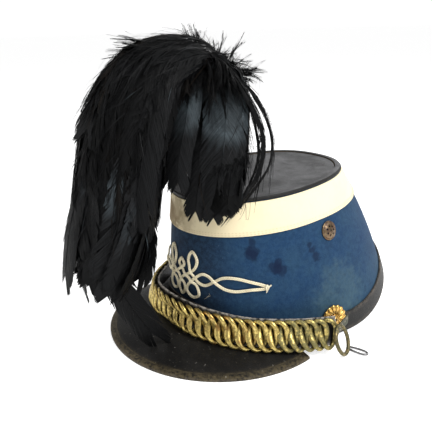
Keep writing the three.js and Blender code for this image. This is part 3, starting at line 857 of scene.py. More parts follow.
class SHAKO_OT_stitches(bpy.types.Operator):
    """Sew the two rows of stitches along the lower edge of the ivory band"""

    bl_idname = "shako.stitches"
    bl_label = "Band stitches"

    rows_below = (27.6, 25.8)  # millimetres from the crown down the wall
    proud = 1.42  # millimetres off the wall
    in_a_row = 168
    thread = 0.22 * MM  # half the thickness of a stitch

    def execute(self, context):
        length = sizes().stitch
        bpy.ops.mesh.primitive_uv_sphere_add(segments=6, ring_count=4, radius=1.0)
        ball, faces = take_shape(context.active_object)
        shape = ball * (length / 2, self.thread, self.thread)
        corners, all_faces = [], []
        for below in self.rows_below:
            for i in range(self.in_a_row):
                turn = 2 * math.pi * i / self.in_a_row
                tall = (rim_point(turn) - crown_point(turn)).length
                place = at(*wall_point(turn, 1 - below / tall, self.proud))
                onward = at(*wall_point(turn + 0.01, 1 - below / tall, self.proud))
                along = (onward - place).normalized()
                out = outward(turn)
                turned = np.array([along, out.cross(along), out]).T
                first = len(corners) * len(shape)
                corners.append(shape @ turned.T + np.array(place))
                all_faces.extend([first + k for k in face] for face in faces)
        rows = mesh_piece("band_stitches", np.concatenate(corners), all_faces)
        settle(rows, ivory_cloth("stitch thread", (0.62, 0.52, 0.33), False))
        return {"FINISHED"}


class SHAKO_OT_crown(bpy.types.Operator):
    """Make the crown's leather disc and the rolled rim round it"""

    bl_idname = "shako.crown"
    bl_label = "Crown"

    flat_above = 0.35 * MM  # the roll is pressed down from this height over the crown's own level
    pressed = 0.6

    def execute(self, context):
        disc = cast("crown_disc", "crown_leather_disc")
        soften_edges(disc, 60, 0.0005)
        subdivide(disc)
        settle(disc, crown_leather(), ["crown_disc"], smooth=40)
        roll = cast("crown_roll", "crown_rolled_rim")
        subdivide(roll)
        for vertex in roll.data.vertices:
            level = at(0, 0, CROWN["z"]).z + CROWN["slope"] * (vertex.co.y - at(0, CROWN["centre_y"], 0).y)
            proud = vertex.co.z - level - self.flat_above
            if proud > 0:
                vertex.co.z -= proud * self.pressed
        turns = [2 * math.pi * i / 240 for i in range(240)]
        rub(roll, [at(*wall_point(turn, 1.0, 0.4)) + Vector((0, 0, 0.0015)) for turn in turns], 0.002)
        settle(roll, black_leather("rim leather", 0.5, 0.35), ["crown_roll"], smooth=60)
        roll.data.materials.append(disc.data.materials[0])
        for face in roll.data.polygons:
            face.material_index = 1 if face.normal.z > 0.8 else 0
        return {"FINISHED"}


# ---------- the peak ----------

def peak_leather():
    """Black leather with a worn fold line a few millimetres inside the outer edge."""
    material = black_leather("peak leather", 0.5, 0.5, grain=800.0, dust=-0.02)
    tree = material.node_tree
    shader = tree.nodes["Principled BSDF"]
    shader.inputs["Specular IOR Level"].default_value = 0.15
    before = shader.inputs["Base Color"].links[0].from_socket
    place = add_node(tree, "ShaderNodeTexCoord").outputs["Object"]
    inset = attribute(tree, "inset")
    line = maths(tree, "MULTIPLY", ramp(tree, inset, 0.0042, 0.0052), ramp(tree, inset, 0.0064, 0.0054))
    broken = maths(tree, "MULTIPLY", line, mottle(tree, place, 85.0, 0.32, 0.58))
    worn = mottle(tree, place, 420.0, 0.30, 0.66)
    margin = maths(tree, "MULTIPLY", maths(tree, "MULTIPLY", ramp(tree, inset, 0.0085, 0.0015), worn), 0.6)
    colour = blend_colour(tree, maths(tree, "MAXIMUM", maths(tree, "MULTIPLY", broken, 0.4), margin), before,
                          (0.125, 0.098, 0.052))
    scratch = mottle(tree, place, 420.0, 0.655, 0.72)
    colour = over(tree, scratch, 0.6, colour, (0.34, 0.32, 0.29))
    link(tree, colour, shader.inputs["Base Color"])
    return material


class SHAKO_OT_peak(bpy.types.Operator):
    """Make the leather peak with its worn edge"""

    bl_idname = "shako.peak"
    bl_label = "Peak"

    def execute(self, context):
        peak = cast("peak", "leather_peak")
        soften_edges(peak, 50, 0.0006)
        subdivide(peak, 3)
        outer = sharp_places("peak", 50, lambda place: place.z < 0.0035)
        point_value(peak, "inset", distances(peak, outer))
        rub(peak, outer, 0.0022)
        settle(peak, peak_leather(), ["peak"], smooth=60)
        return {"FINISHED"}


# ---------- the strap and the chain ----------

class SHAKO_OT_strap(bpy.types.Operator):
    """Make the chin strap and the metal tabs at its ends"""

    bl_idname = "shako.strap"
    bl_label = "Chin strap"

    def execute(self, context):
        strap = cast("chin_strap", "leather_strap")
        soften_edges(strap, 50, 0.0005)
        subdivide(strap)
        rub(strap, sharp_places("chin_strap", 50), 0.003)
        settle(strap, black_leather("strap leather", 0.45, 1.0, worn_colour=(0.36, 0.33, 0.29), dust=0.08),
               ["chin_strap"], smooth=50)
        finish = old_metal("tab brass", (0.20, 0.16, 0.09), (0.07, 0.075, 0.055), 0.6)
        for side in ("left", "right"):
            tab = cast("tab_" + side, "boss_tab_" + side)
            soften_edges(tab, 50, 0.0003)
            subdivide(tab, 1)
            settle(tab, finish, ["tab_" + side], smooth=40)
        return {"FINISHED"}


class SHAKO_OT_chain(bpy.types.Operator):
    """Make one curb link and copy it to the place of each link of the chain"""

    bl_idname = "shako.chain"
    bl_label = "Curb chain"

    half_long = 6.9 * MM
    half_tall = 10.8 * MM
    twist = 1.75 * MM
    flare = 0.75 * MM  # how much each side of the wire widens where neighbours cross
    play = 2.5  # degrees that a link may have turned
    lean = 6  # degrees that every link is turned to lie on the next

    def blank(self, context):
        """The corners of one link in its own directions, and its faces."""
        bpy.ops.mesh.primitive_torus_add(major_segments=44, minor_segments=10, major_radius=1,
                                         minor_radius=0.2)
        places, faces = take_shape(context.active_object)
        places /= 0.2
        angle = np.arctan2(places[:, 1], places[:, 0])
        off = np.hypot(places[:, 0], places[:, 1]) - 5
        cos, sin = np.cos(angle), np.sin(angle)
        away = np.stack([self.half_tall * cos, self.half_long * sin], axis=1)
        away /= np.linalg.norm(away, axis=1)[:, None]
        wide = sizes().link_width / 2 + self.flare * cos ** 4
        deep = sizes().link_depth / 2
        return np.stack([
            self.half_long * cos + away[:, 0] * off * wide,
            self.half_tall * sin + away[:, 1] * off * wide,
            self.twist * np.sin(2 * angle) + places[:, 2] * deep,
        ], axis=1), faces

    def execute(self, context):
        shape, faces = self.blank(context)
        rng = random.Random(11)
        tone = colours()
        plain, reddened = (
            old_metal(name, tone.brass, tone.brass_dull, 0.47, rough=(0.3, 0.6), scale=330.0, warm=warm,
                      recess_dirt_and_shade=0.9)
            for name, warm in (("chain brass", 0.2), ("chain brass reddened", 0.6)))
        greened = old_metal("chain brass greened", [c * 0.85 for c in tone.brass], (0.19, 0.17, 0.075), 0.55,
                            scale=300.0, recess_dirt_and_shade=0.9)
        for index, node in enumerate(LINKS):
            middle, (tall, _, thin) = principal(node)
            up = facing(tall, Vector((0, 0, 1)))
            out = facing(thin, middle - Vector((ORIGIN.x, ORIGIN.y, middle.z)))
            along = up.cross(out).normalized()
            loose = rng.uniform(-self.play, self.play)
            roll = (Matrix.Rotation(math.radians(loose), 3, along)
                    @ Matrix.Rotation(math.radians(self.lean), 3, up))
            turned = np.array([roll @ along, roll @ up, roll @ out])
            corners = shape @ turned + np.array(middle)
            piece = mesh_piece("curb_" + node[6:], corners, faces)
            # The back of each link, towards the wall, gets a low edge value, which darkens it: painted shade
            # with some dirt.
            front = np.clip((shape[:, 2] / MM + 1.4) / 2.6, 0, 1)
            point_value(piece, "edge", smooth_step(front))
            from_end = min(index, len(LINKS) - 1 - index)
            finish = greened if from_end < 5 else reddened if 8 <= from_end <= 12 else plain
            settle(piece, finish, [node], smooth=60)
        return {"FINISHED"}


# ---------- bosses and vents ----------

class SHAKO_OT_bosses(bpy.types.Operator):
    """Make the two rosette bosses: a flat disc, a ring of petals, a thin ring and a small dome"""

    bl_idname = "shako.bosses"
    bl_label = "Bosses"

    radius = 12.8 * MM

    def rosette(self, context):
        """The boss lying flat, with its foot at nothing and its face up."""
        count = sizes().petals
        bpy.ops.mesh.primitive_cylinder_add(vertices=count * 4, radius=self.radius * 0.94, depth=1 * MM,
                                            location=(0, 0, 0.5 * MM))
        disc = context.active_object
        soften_edges(disc, 60, 0.0003)
        parts = [disc]
        bpy.ops.mesh.primitive_uv_sphere_add(segments=14, ring_count=10, radius=1.0)
        ball, faces = take_shape(context.active_object)
        shape = ball * (self.radius * 0.33, self.radius * 0.135, 1.1 * MM)
        shape[:, 1:2] *= 1 + 0.45 * shape[:, 0:1] / (self.radius * 0.33)
        shape += (self.radius * 0.66, 0, 1.1 * MM)
        for i in range(count):
            angle = 2 * math.pi * i / count
            spin = np.array(Matrix.Rotation(angle, 3, "Z"))
            parts.append(mesh_piece("petal", shape @ spin.T, faces))
        bpy.ops.mesh.primitive_torus_add(major_segments=40, minor_segments=10, location=(0, 0, 1.7 * MM),
                                         major_radius=self.radius * 0.32, minor_radius=0.55 * MM)
        parts.append(context.active_object)
        bpy.ops.mesh.primitive_uv_sphere_add(segments=24, ring_count=14, radius=self.radius * 0.27,
                                             location=(0, 0, 1.4 * MM))
        dome = context.active_object
        dome.scale.z = 0.72
        parts.append(dome)
        apply_transforms(parts)
        whole = join(parts, "rosette")
        # The low parts between the petals get a low edge value, which darkens them: painted shade with some
        # dirt.
        tall = np.clip((corners_of(whole)[:, 2] / MM - 0.7) / 1.1, 0, 1)
        point_value(whole, "edge", smooth_step(tall))
        return whole

    def execute(self, context):
        tone = colours()
        gilt = old_metal("gilt", tone.gilt, (0.44, 0.25, 0.08), 0.42, rough=(0.28, 0.5), scale=420.0,
                         recess_dirt_and_shade=0.9)
        blank = self.rosette(context)
        for side, across in (("left", 1), ("right", -1)):
            node = "boss_" + side
            _, axes = principal(node)
            out = facing(axes[2], Vector((across, -0.2, 0)))
            up = (Vector((0, 0, 1)) - out * out.z).normalized()
            low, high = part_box(node)
            boss = stamp(context, blank, "rosette_boss_" + side, up.cross(out), up, out,
                         (low + high) / 2 - out * 2.3 * MM)
            settle(boss, gilt, [node], smooth=45)
        bpy.data.objects.remove(blank)
        return {"FINISHED"}


class SHAKO_OT_vents(bpy.types.Operator):
    """Make the two domed vents and drill their holes"""

    bl_idname = "shako.vents"
    bl_label = "Vents"

    radius = 8.3 * MM

    def dome(self, context):
        bpy.ops.mesh.primitive_uv_sphere_add(segments=40, ring_count=24, radius=1.0)
        cap = context.active_object
        pick(cap)
        bpy.ops.object.mode_set(mode="EDIT")
        bpy.ops.mesh.select_all(action="SELECT")
        bpy.ops.mesh.bisect(plane_co=(0, 0, 0.02), plane_no=(0, 0, 1), clear_inner=True)
        bpy.ops.mesh.select_all(action="SELECT")
        bpy.ops.transform.resize(value=(self.radius * 0.86, self.radius * 0.86, 2.9 * MM),
                                 center_override=(0, 0, 0))
        bpy.ops.object.mode_set(mode="OBJECT")
        apply_modifier(cap, "SOLIDIFY", thickness=0.7 * MM, offset=-1)
        holes = [(0, 0), *((self.radius * 0.45, 2 * math.pi * i / 7) for i in range(7))]
        drills = []
        for reach, angle in holes:
            place = (reach * math.cos(angle), reach * math.sin(angle), 0)
            bpy.ops.mesh.primitive_cylinder_add(vertices=20, radius=0.82 * MM, depth=12 * MM, location=place)
            drills.append(context.active_object)
        drill = join(drills, "drill")
        apply_modifier(cap, "BOOLEAN", operation="DIFFERENCE", object=drill, solver="EXACT")
        bpy.data.objects.remove(drill)
        bpy.ops.mesh.primitive_torus_add(major_segments=48, minor_segments=10, location=(0, 0, 0.55 * MM),
                                         major_radius=self.radius * 0.86, minor_radius=0.75 * MM)
        rim = context.active_object
        apply_transforms([rim])
        return join([cap, rim], "vent")

    def execute(self, context):
        tone = colours()
        bronze = old_metal("vent bronze", [c * 1.5 for c in tone.bronze], (0.085, 0.055, 0.045), 0.5,
                           rough=(0.3, 0.55), scale=380.0, warm=0.3)
        blank = self.dome(context)
        for side, across in (("left", 1), ("right", -1)):
            node = "vent_" + side
            _, axes = principal(node)
            out = facing(axes[2], Vector((across, 0, 0)))
            up = (Vector((0, 0, 1)) - out * out.z).normalized()
            low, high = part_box(node)
            vent = stamp(context, blank, "domed_vent_" + side, up.cross(out), up, out,
                         (low + high) / 2 - out * 1.5 * MM)
            settle(vent, bronze, [node], smooth=40)
        bpy.data.objects.remove(blank)
        return {"FINISHED"}


# ---------- the knot ----------

# One half of the knot: the angle round the hat from the front, in degrees, and the height in millimetres.
KNOT = (
    {"turn": 0, "z": 36.8}, {"turn": -2.9, "z": 43}, {"turn": 0, "z": 51}, {"turn": 6, "z": 56.5},
    {"turn": 11.5, "z": 62.5}, {"turn": 13.6, "z": 70}, {"turn": 10, "z": 76}, {"turn": 6.6, "z": 69},
    {"turn": 8.6, "z": 60}, {"turn": 13, "z": 52.2}, {"turn": 18.4, "z": 50.4}, {"turn": 24.6, "z": 55.2},
    {"turn": 30, "z": 58.9}, {"turn": 37, "z": 59.2}, {"turn": 44, "z": 56.8}, {"turn": 51, "z": 53.4},
    {"turn": 51, "z": 51}, {"turn": 44, "z": 50.2}, {"turn": 35, "z": 48.6}, {"turn": 28.6, "z": 50.6},
    {"turn": 23.4, "z": 56.6}, {"turn": 17.4, "z": 59.4}, {"turn": 11.4, "z": 54.4}, {"turn": 5.4, "z": 46.5},
    {"turn": 4.8, "z": 40.5}, {"turn": 9.4, "z": 37.2}, {"turn": 13.6, "z": 41}, {"turn": 12, "z": 49},
    {"turn": 6.4, "z": 54}, {"turn": 0, "z": 59.5}, {"turn": -2.6, "z": 63.2}, {"turn": 0, "z": 67.5},
)


class SHAKO_OT_knot(bpy.types.Operator):
    """Lay the flat braided cord in its knot, with the tied ends and a few loose threads"""

    bl_idname = "shako.knot"
    bl_label = "Knot"

    # The flat cord's section: two round edges and a dip between them, in half widths and heights.
    profile = (
        (-1.0, 0.12), (-0.86, 0.62), (-0.52, 0.9), (-0.18, 0.62), (0.0, 0.42), (0.18, 0.62), (0.52, 0.9),
        (0.86, 0.62), (1.0, 0.12), (0.6, -0.05), (-0.6, -0.05),
    )
    braid_step = 1.9 * MM
    hitch_turn = 52.0  # degrees round the hat to the knot's outer end

    def lifts(self, flat):
        """How far each place stands off the cloth: a later strand passes over an earlier one."""
        reach = sizes().cord_width / MM * 0.95
        level = np.zeros(len(flat))
        spacing = np.linalg.norm(flat[1] - flat[0])
        apart = int(reach * 2.2 / spacing)
        for i in range(len(flat)):
            for j in range(0, i - apart):
                if len(flat) - i + j > apart and np.linalg.norm(flat[i] - flat[j]) < reach:
                    level[i] = max(level[i], level[j] + 1)
        level = np.minimum(level, 1.6)
        for _ in range(6):
            level = np.maximum(level, (np.roll(level, 1) + np.roll(level, -1)) / 2)
        for _ in range(4):
            level = (np.roll(level, 1) + level + np.roll(level, -1)) / 3
        return level

    def execute(self, context):
        mirrored = [{"turn": -row["turn"], "z": row["z"]} for row in reversed(KNOT[1:-1])]
        rows = [(math.radians(row["turn"]) * RIM["front"], row["z"], 0.0) for row in (*KNOT, *mirrored)]
        flat = smooth_rows(rows, 900, closed=True)[:, :2]
        lifts = self.lifts(flat)
        wide, tall = sizes().cord_width / 2, sizes().cord_height
        places = [
            wall_at(x / RIM["front"], z, 0.55) + outward(x / RIM["front"]) * float(lift) * tall * 0.9
            for (x, z), lift in zip(flat, lifts)
        ]
        count = len(places)
        number = len(self.profile)
        sections, runs, run = [], [], 0.0
        for i, place in enumerate(places):
            along = (places[(i + 1) % count] - places[i - 1]).normalized()
            out = outward(flat[i][0] / RIM["front"])
            across = along.cross(out).normalized()
            off = across.cross(along)
            sections.append([place + across * (u * wide) + off * (h * tall) for u, h in self.profile])
            runs.append(run)
            run += (places[(i + 1) % count] - place).length
        knot = mesh_piece("soutache_knot", *sweep(sections, True))
        face_outward(knot)
        layer = knot.data.uv_layers.new(name="along")
        for face in knot.data.polygons:
            wraps = max(face.vertices) // number - min(face.vertices) // number > 1
            for corner in face.loop_indices:
                vertex = knot.data.loops[corner].vertex_index
                station, side = divmod(vertex, number)
                start = runs[station] if not (wraps and station == 0) else run
                layer.data[corner].uv = (start / self.braid_step, (self.profile[side][0] + 1) / 2)
        finish = braided_cord()
        settle(knot, finish, ["knot"], smooth=60)
        for side, name in ((1, "left"), (-1, "right")):
            self.tie(side, name, finish)
        self.threads()
        return {"FINISHED"}

    def tie(self, side, name, finish):
        """The small hitch at the knot's outer end, with its two cut ends."""
        turn = math.radians(self.hitch_turn * side)
        centre = wall_at(turn, 52.2, 1.6)
        out = outward(turn)
        level = Vector((0, 0, 1)).cross(out).normalized()

        def near(a, b, c):
            return list(centre + level * a * MM + Vector((0, 0, b)) * MM + out * c * MM)

        rows = ((0.0, 1.9, 0.3), (0.9, 0.2, 1.0), (-0.1, -1.9, 0.4), (-0.9, 0.1, 1.1))
        loop = smooth_rows([near(*row) for row in rows], 28, closed=True)
        parts = [tube("hitch", loop, 0.85 * MM, closed=True)]
        for label, off, thin_to, places in (
                ("tail", 0.6, 0.6, ((0.2, -0.8), (0.0, -2.4), (-0.5, -4.0))),
                ("stub", 0.8, 0.7, ((0.0, 0.4), (1.8, 1.1), (3.2, 2.2)))):
            end = smooth_rows([near(side * a, b, off) for a, b in places], 8)
            parts.append(tube(label, end, 0.8 * MM, thin_to=thin_to))
        hitch = join(parts, "knot_hitch_" + name)
        hitch.data.uv_layers.new(name="along")
        settle(hitch, finish, smooth=60)

    def threads(self):
        """Loose ends of sewing thread beside the knot."""
        rng = random.Random(5)
        parts = []
        for turn, z in ((17, 38.5), (19.5, 41)):
            rows = []
            for _ in range(4):
                rows.append(list(wall_at(math.radians(turn), z, rng.uniform(0.4, 1.5))))
                turn += rng.uniform(-0.6, 2.2)
                z += rng.uniform(-1.6, 2.4)
            parts.append(tube("thread", smooth_rows(rows, 16), 0.1 * MM, sides=5))
        threads = join(parts, "loose_threads")
        settle(threads, ivory_cloth("thread", (0.55, 0.50, 0.38), False))


# ---------- small fittings ----------

class SHAKO_OT_fittings(bpy.types.Operator):
    """Make the plume's socket, the loose ring and the steel wire loop"""

    bl_idname = "shako.fittings"
    bl_label = "Socket, ring and wire"

    def execute(self, context):
        dull = old_metal("ring brass", (0.26, 0.20, 0.09), (0.10, 0.095, 0.055), 0.55, rough=(0.35, 0.6))
        socket = cast("plume_socket", "stem_socket")
        soften_edges(socket, 50, 0.0004)
        settle(socket, dull, ["plume_socket"], smooth=40)
        steel = old_metal("dull steel", (0.30, 0.30, 0.31), (0.12, 0.115, 0.11), 0.5, rough=(0.3, 0.5),
                          scale=500.0)
        for node, name, thicker, finish, slot in (
                ("end_ring", "loose_end_ring", 0.35, dull, "aged_bronze"),
                ("wire_loop", "steel_wire_loop", 0.2, steel, "steel_wire")):
            wire = cast(node, name)
            subdivide(wire)
            apply_modifier(wire, "DISPLACE", strength=thicker * MM, mid_level=0)
            settle(wire, finish, [node], smooth=60)
        return {"FINISHED"}


# ---------- the plume ----------

# Outer form of the plume's falls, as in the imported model: section middles with half widths and half depths.
FRONT_FALL = (
    (0, -78, 208, 12, 10), (0, -84, 216, 22, 15), (0, -104, 219, 30, 20), (-1, -131, 209, 35, 25),
    (-2, -149, 183, 38, 28), (-2, -159, 149, 38, 30), (-3, -167, 112, 37, 29), (-4, -178, 80, 33, 26),
    (-5, -187, 60, 26, 20),
)
SIDE_FALL = (
    (4, -82, 213, 20, 12), (15, -82, 210, 25, 16), (26, -86, 190, 26, 18), (32, -91, 165, 26, 18),
    (40, -100, 138, 24, 14), (46, -106, 111, 19, 8),
)
STEM_PLACE = Vector((0.0, -91.0, 0.0))
STEM_TOP = 208
WINDING = {"turns": 34, "radius": 3.05, "rise": 0.16, "thread": 0.42}
CREST_FEATHERS = 560

# Single feathers that stand out of the falls: half width and the shaft's course, in hat millimetres.
# A tint above 0.84 gives a feather the painted sheen; the highest tints give the brightest sheen.
SINGLES = (
    {"half": 6.5, "kind": "sickle", "course": ((14, -84, 216), (28, -79, 208), (39, -74, 196),
     (45, -70, 174), (47, -69, 150), (43, -77, 126), (37, -86, 110))},
    {"half": 6.0, "kind": "sickle", "course": ((12, -86, 218), (32, -82, 212), (51, -76, 197),
     (58, -67, 172), (57, -66, 148), (52, -76, 130), (46, -86, 116))},
    {"half": 6.0, "kind": "sickle", "course": ((12, -88, 218), (36, -87, 214), (54, -85, 197),
     (62, -78, 173), (62, -79, 149), (57, -87, 130), (50, -97, 114))},
    {"half": 16.0, "tint": 0.995, "facing": (0.8, -0.5, 0.2), "course": ((8, -86, 224), (24, -88, 220),
     (39, -94, 203), (48, -100, 178), (49, -105, 152), (47, -107, 126))},
    {"half": 9.0, "tint": 0.955, "facing": (0.65, -0.75, 0.1), "course": ((6, -92, 222),
     (17, -102, 219), (28, -114, 203), (33, -123, 180), (32, -129, 158), (30, -130, 139))},
    {"half": 9.0, "tint": 0.5, "facing": (0.75, -0.6, 0.1), "course": ((30, -98, 196), (37, -108, 176),
     (39, -114, 156), (38, -118, 136), (36, -120, 117))},
    {"half": 8.5, "tint": 0.55, "facing": (0.8, -0.5, 0.1), "course": ((44, -98, 180), (47, -104, 160),
     (48, -108, 140), (46, -110, 124), (44, -110, 112))},
    {"half": 7.5, "tint": 0.4, "facing": (0.8, -0.5, 0.1), "course": ((48, -92, 176), (51, -98, 158),
     (52, -100, 140), (51, -102, 126), (49, -102, 116))},
    {"half": 7.0, "kind": "tuft", "course": ((10, -92, 224), (30, -98, 216), (42, -104, 200),
     (47, -107, 184))},
    {"half": 7.0, "kind": "tuft", "course": ((10, -90, 224), (34, -92, 216), (47, -96, 200),
     (52, -99, 182))},
    {"half": 7.0, "kind": "tuft", "course": ((8, -96, 224), (22, -108, 217), (33, -115, 202),
     (38, -118, 186))},
    {"half": 12.5, "tint": 0.6, "course": ((8, -96, 222), (20, -118, 221), (29, -140, 206),
     (34, -154, 180), (34, -162, 150), (31, -166, 124))},
    {"half": 12.0, "tint": 0.3, "facing": (0.75, -0.6, 0.1), "course": ((0, -150, 190), (2, -170, 150),
     (4, -180, 112), (6, -177, 82), (8, -167, 52), (12, -157, 32), (15, -150, 19))},
    {"half": 12.0, "course": ((-2, -150, 190), (-4, -182, 152), (-6, -196, 118), (-9, -201, 94),
     (-13, -203, 74))},
    {"half": 11.0, "course": ((-8, -148, 188), (-12, -176, 150), (-14, -190, 112), (-16, -192, 84),
     (-15, -190, 62))},
    {"half": 9.0, "course": ((2, -130, 170), (6, -142, 128), (11, -146, 98), (13, -152, 76),
     (11, -157, 66))},
    {"half": 15.0, "tint": 0.93, "facing": (0.6, -0.8, 0.1), "course": ((4, -150, 196), (12, -170, 168),
     (13, -182, 142), (11, -188, 116), (8, -190, 96))},
    {"half": 9.0, "kind": "tuft", "course": ((4, -90, 208), (0, -90, 224), (-5, -94, 239))},
    {"half": 9.0, "kind": "tuft", "course": ((6, -92, 210), (2, -92, 224), (-2, -95, 236))},
    {"half": 8.0, "kind": "tuft", "course": ((2, -84, 206), (8, -77, 221), (11, -72, 232))},
    {"half": 9.0, "kind": "tuft", "course": ((4, -80, 204), (14, -70, 216), (20, -61, 226))},
    {"half": 9.0, "kind": "tuft", "course": ((8, -74, 202), (19, -62, 211), (28, -52, 212))},
    {"half": 8.0, "kind": "tuft", "course": ((-6, -80, 204), (-12, -74, 218), (-18, -66, 226))},
    {"half": 8.0, "kind": "tuft", "course": ((0, -96, 216), (3, -124, 227), (6, -150, 229))},
    {"half": 9.0, "kind": "tuft", "course": ((-4, -100, 216), (-3, -126, 227), (0, -152, 226))},
    {"half": 8.0, "kind": "tuft", "course": ((-6, -96, 214), (-6, -130, 223), (-2, -160, 219))},
    {"half": 8.0, "kind": "tuft", "course": ((-10, -90, 214), (-16, -112, 223), (-18, -132, 224))},
)


def fall_sections(rows, side):
    """The fall's course as evenly spaced sections, with their own directions."""
    rows = [(row[0] * side, *row[1:]) for row in rows]
    dense = smooth_rows(rows, 160)
    middle = dense[:, :3]
    along = np.gradient(middle, axis=0)
    along /= np.linalg.norm(along, axis=1)[:, None]
    if rows[0][0] == 0:
        lateral = np.tile([1.0, 0.0, 0.0], (len(along), 1))
    else:
        lateral = np.stack([-along[:, 1], along[:, 0], np.zeros(len(along))], axis=1)
    lateral -= along * (lateral * along).sum(1)[:, None]
    lateral /= np.linalg.norm(lateral, axis=1)[:, None]
    run = np.concatenate([[0], np.cumsum(np.linalg.norm(np.diff(middle, axis=0), axis=1))])
    return {"run": run, "middle": middle, "lateral": lateral, "depth": np.cross(along, lateral),
            "wide": dense[:, 3], "deep": dense[:, 4]}


def fall_place(fall, run, angle, reach):
    """A place in a fall: how far along, the angle round its oval, and the part of the oval's size."""
    picked = {key: np.array([np.interp(run, fall["run"], fall[key][:, k]) for k in range(3)])
              for key in ("middle", "lateral", "depth")}
    wide = np.interp(run, fall["run"], fall["wide"])
    deep = np.interp(run, fall["run"], fall["deep"])
    off = picked["lateral"] * (wide * math.cos(angle)) + picked["depth"] * (deep * math.sin(angle))
    out = picked["lateral"] * (math.cos(angle) / wide) + picked["depth"] * (math.sin(angle) / deep)
    return picked["middle"] + off * reach, out / np.linalg.norm(out)


def feather_blank(rng, barbs, fray, down=0.0, sweep_on=0.17, fine=1.0, plain=False):
    """A flat feather, with its map and its faces.

    X runs across in half widths, Y along from 0 to 1 and Z up in millimetres. Each barb is a narrow strip of
    its own. They lie in clumps, with splits between them. sweep_on says how far a barb reaches towards the
    tip, and fine how much of its room it fills: hackles are swept and hairy. A plain blank has fewer faces,
    for feathers that are laid by the hundred.
    """
    stations = (0.0, 0.55, 1.0) if plain else (0.0, 0.38, 0.75, 1.0)
    taper = (0.62, 0.80 * fine, 0.34 * fine) if plain else (0.62, 0.86 * fine, 0.84 * fine, 0.40 * fine)
    corners, places, faces = [], [], []
    for side in (-1, 1):
        left, size, shift, rise = 0, 1, 0.0, 0.0
        for i in range(barbs):
            if left == 0:
                size = rng.choice((3, 4, 6, 8, 11))
                left = size
                shift = rng.uniform(-0.018, 0.018) * fray
                rise = rng.uniform(-0.5, 0.8) * fray
            inside = (size - left) / max(size - 1, 1) - 0.5
            left -= 1
            v = 0.04 + 0.94 * (i / (barbs - 1)) ** 0.96
            body = min(1.0, (v + 0.06) / 0.25) ** 0.8 * (1 - 0.6 * max(0.0, (v - 0.7) / 0.3) ** 2)
            loose = down * max(0.0, 1 - v / 0.28)
            reach = body * rng.uniform(1 - 0.05 * fray, 1 + 0.02 * fray) * (1 - 0.2 * loose)
            forward = sweep_on * (1 + 0.25 * v) * body + shift - inside * size * 0.0045 * fray
            forward += rng.uniform(-0.03, 0.03) * loose
            first = len(corners)
            step = 0.94 / barbs
            lift = rng.uniform(-0.1, 0.1) + loose * rng.uniform(-2.5, 2.5)
            for u, thin in zip(stations, taper):
                for edge in (-1, 1):
                    corners.append((
                        side * reach * u,
                        v + forward * u ** 1.3 + edge * step * thin,
                        0.08 * edge + (lift + rise) * u * u,
                    ))
                    places.append((i + 0.5 * (edge + 1) + (0.37 if side > 0 else 0), u))
            for j in range(len(stations) - 1):
                k = first + 2 * j
                face = (k, k + 2, k + 3, k + 1)
                faces.append(face if side > 0 else tuple(reversed(face)))
    first = len(corners)
    spans = 4 if plain else 9
    for i in range(spans + 1):
        v = i / spans * 0.97
        half = 0.05 * (1 - v) + 0.008
        for x, z in ((-half, 0.0), (0.0, 0.7 - 0.55 * v), (half, 0.0)):
            corners.append((x, v, z + 0.12))
            places.append((v * 6, -1.0))
    for i in range(spans):
        a, b = first + 3 * i, first + 3 * i + 3
        faces.append((a, b, b + 1, a + 1))
        faces.append((a + 1, b + 1, b + 2, a + 2))
    return np.array(corners), np.array(places), faces


class Vanes:
    """Gathers feathers into one mesh."""

    def __init__(self, rng):
        self.rng = rng
        self.corners, self.places, self.tints, self.shines, self.faces = [], [], [], [], []
        self.count = 0

    def add(self, blank, course, normals, half, camber=0.16, tint=None):
        """Bends a blank along a course in hat millimetres; the normals say where its face looks."""
        shape, places, faces = blank
        course = np.asarray(course, float)
        normals = np.asarray(normals, float)
        steps = np.linspace(0, 1, len(course))
        v = np.clip(shape[:, 1], 0, 1)
        spine = np.stack([np.interp(v, steps, course[:, k]) for k in range(3)], axis=1)
        tangents = np.gradient(course, axis=0)
        tangents /= np.linalg.norm(tangents, axis=1)[:, None]
        along = np.stack([np.interp(v, steps, tangents[:, k]) for k in range(3)], axis=1)
        along /= np.linalg.norm(along, axis=1)[:, None]
        face = np.stack([np.interp(v, steps, normals[:, k]) for k in range(3)], axis=1)
        face -= along * (face * along).sum(1)[:, None]
        face /= np.linalg.norm(face, axis=1)[:, None]
        across = np.cross(along, face)
        length = np.linalg.norm(np.diff(course, axis=0), axis=1).sum()
        over = shape[:, 1] - v
        bent = spine + along * (over * length)[:, None] + across * (shape[:, 0] * half)[:, None]
        bent += face * (shape[:, 2] - camber * half * shape[:, 0] ** 2)[:, None]
        self.corners.append(bent)
        self.places.append(places)
        tint = self.rng.random() if tint is None else tint
        self.tints.append(np.full(len(shape), tint))
        # Feathers with a tint above 0.84 get a painted sheen on their middle, stored as shine.
        bell = np.clip(1 - ((shape[:, 1] - 0.50) / 0.17) ** 2 - 0.35 * shape[:, 0] ** 2, 0, 1)
        self.shines.append(bell * min(max((tint - 0.84) / 0.15, 0), 1))
        self.faces.extend([self.count + k for k in corner_row] for corner_row in faces)
        self.count += len(shape)

    def piece(self, name, material):
        corners = np.concatenate(self.corners) * MM + np.array(ORIGIN)
        vanes = mesh_piece(name, corners, self.faces)
        tints = np.concatenate(self.tints)
        point_value(vanes, "tint", tints)
        point_value(vanes, "shine", np.concatenate(self.shines))
        where = np.concatenate(self.places)
        layer = vanes.data.uv_layers.new(name="barb")
        order = np.empty(len(vanes.data.loops), int)
        vanes.data.loops.foreach_get("vertex_index", order)
        layer.data.foreach_set("uv", where[order].astype(np.float32).ravel())
        settle(vanes, material, smooth=75)
        return vanes


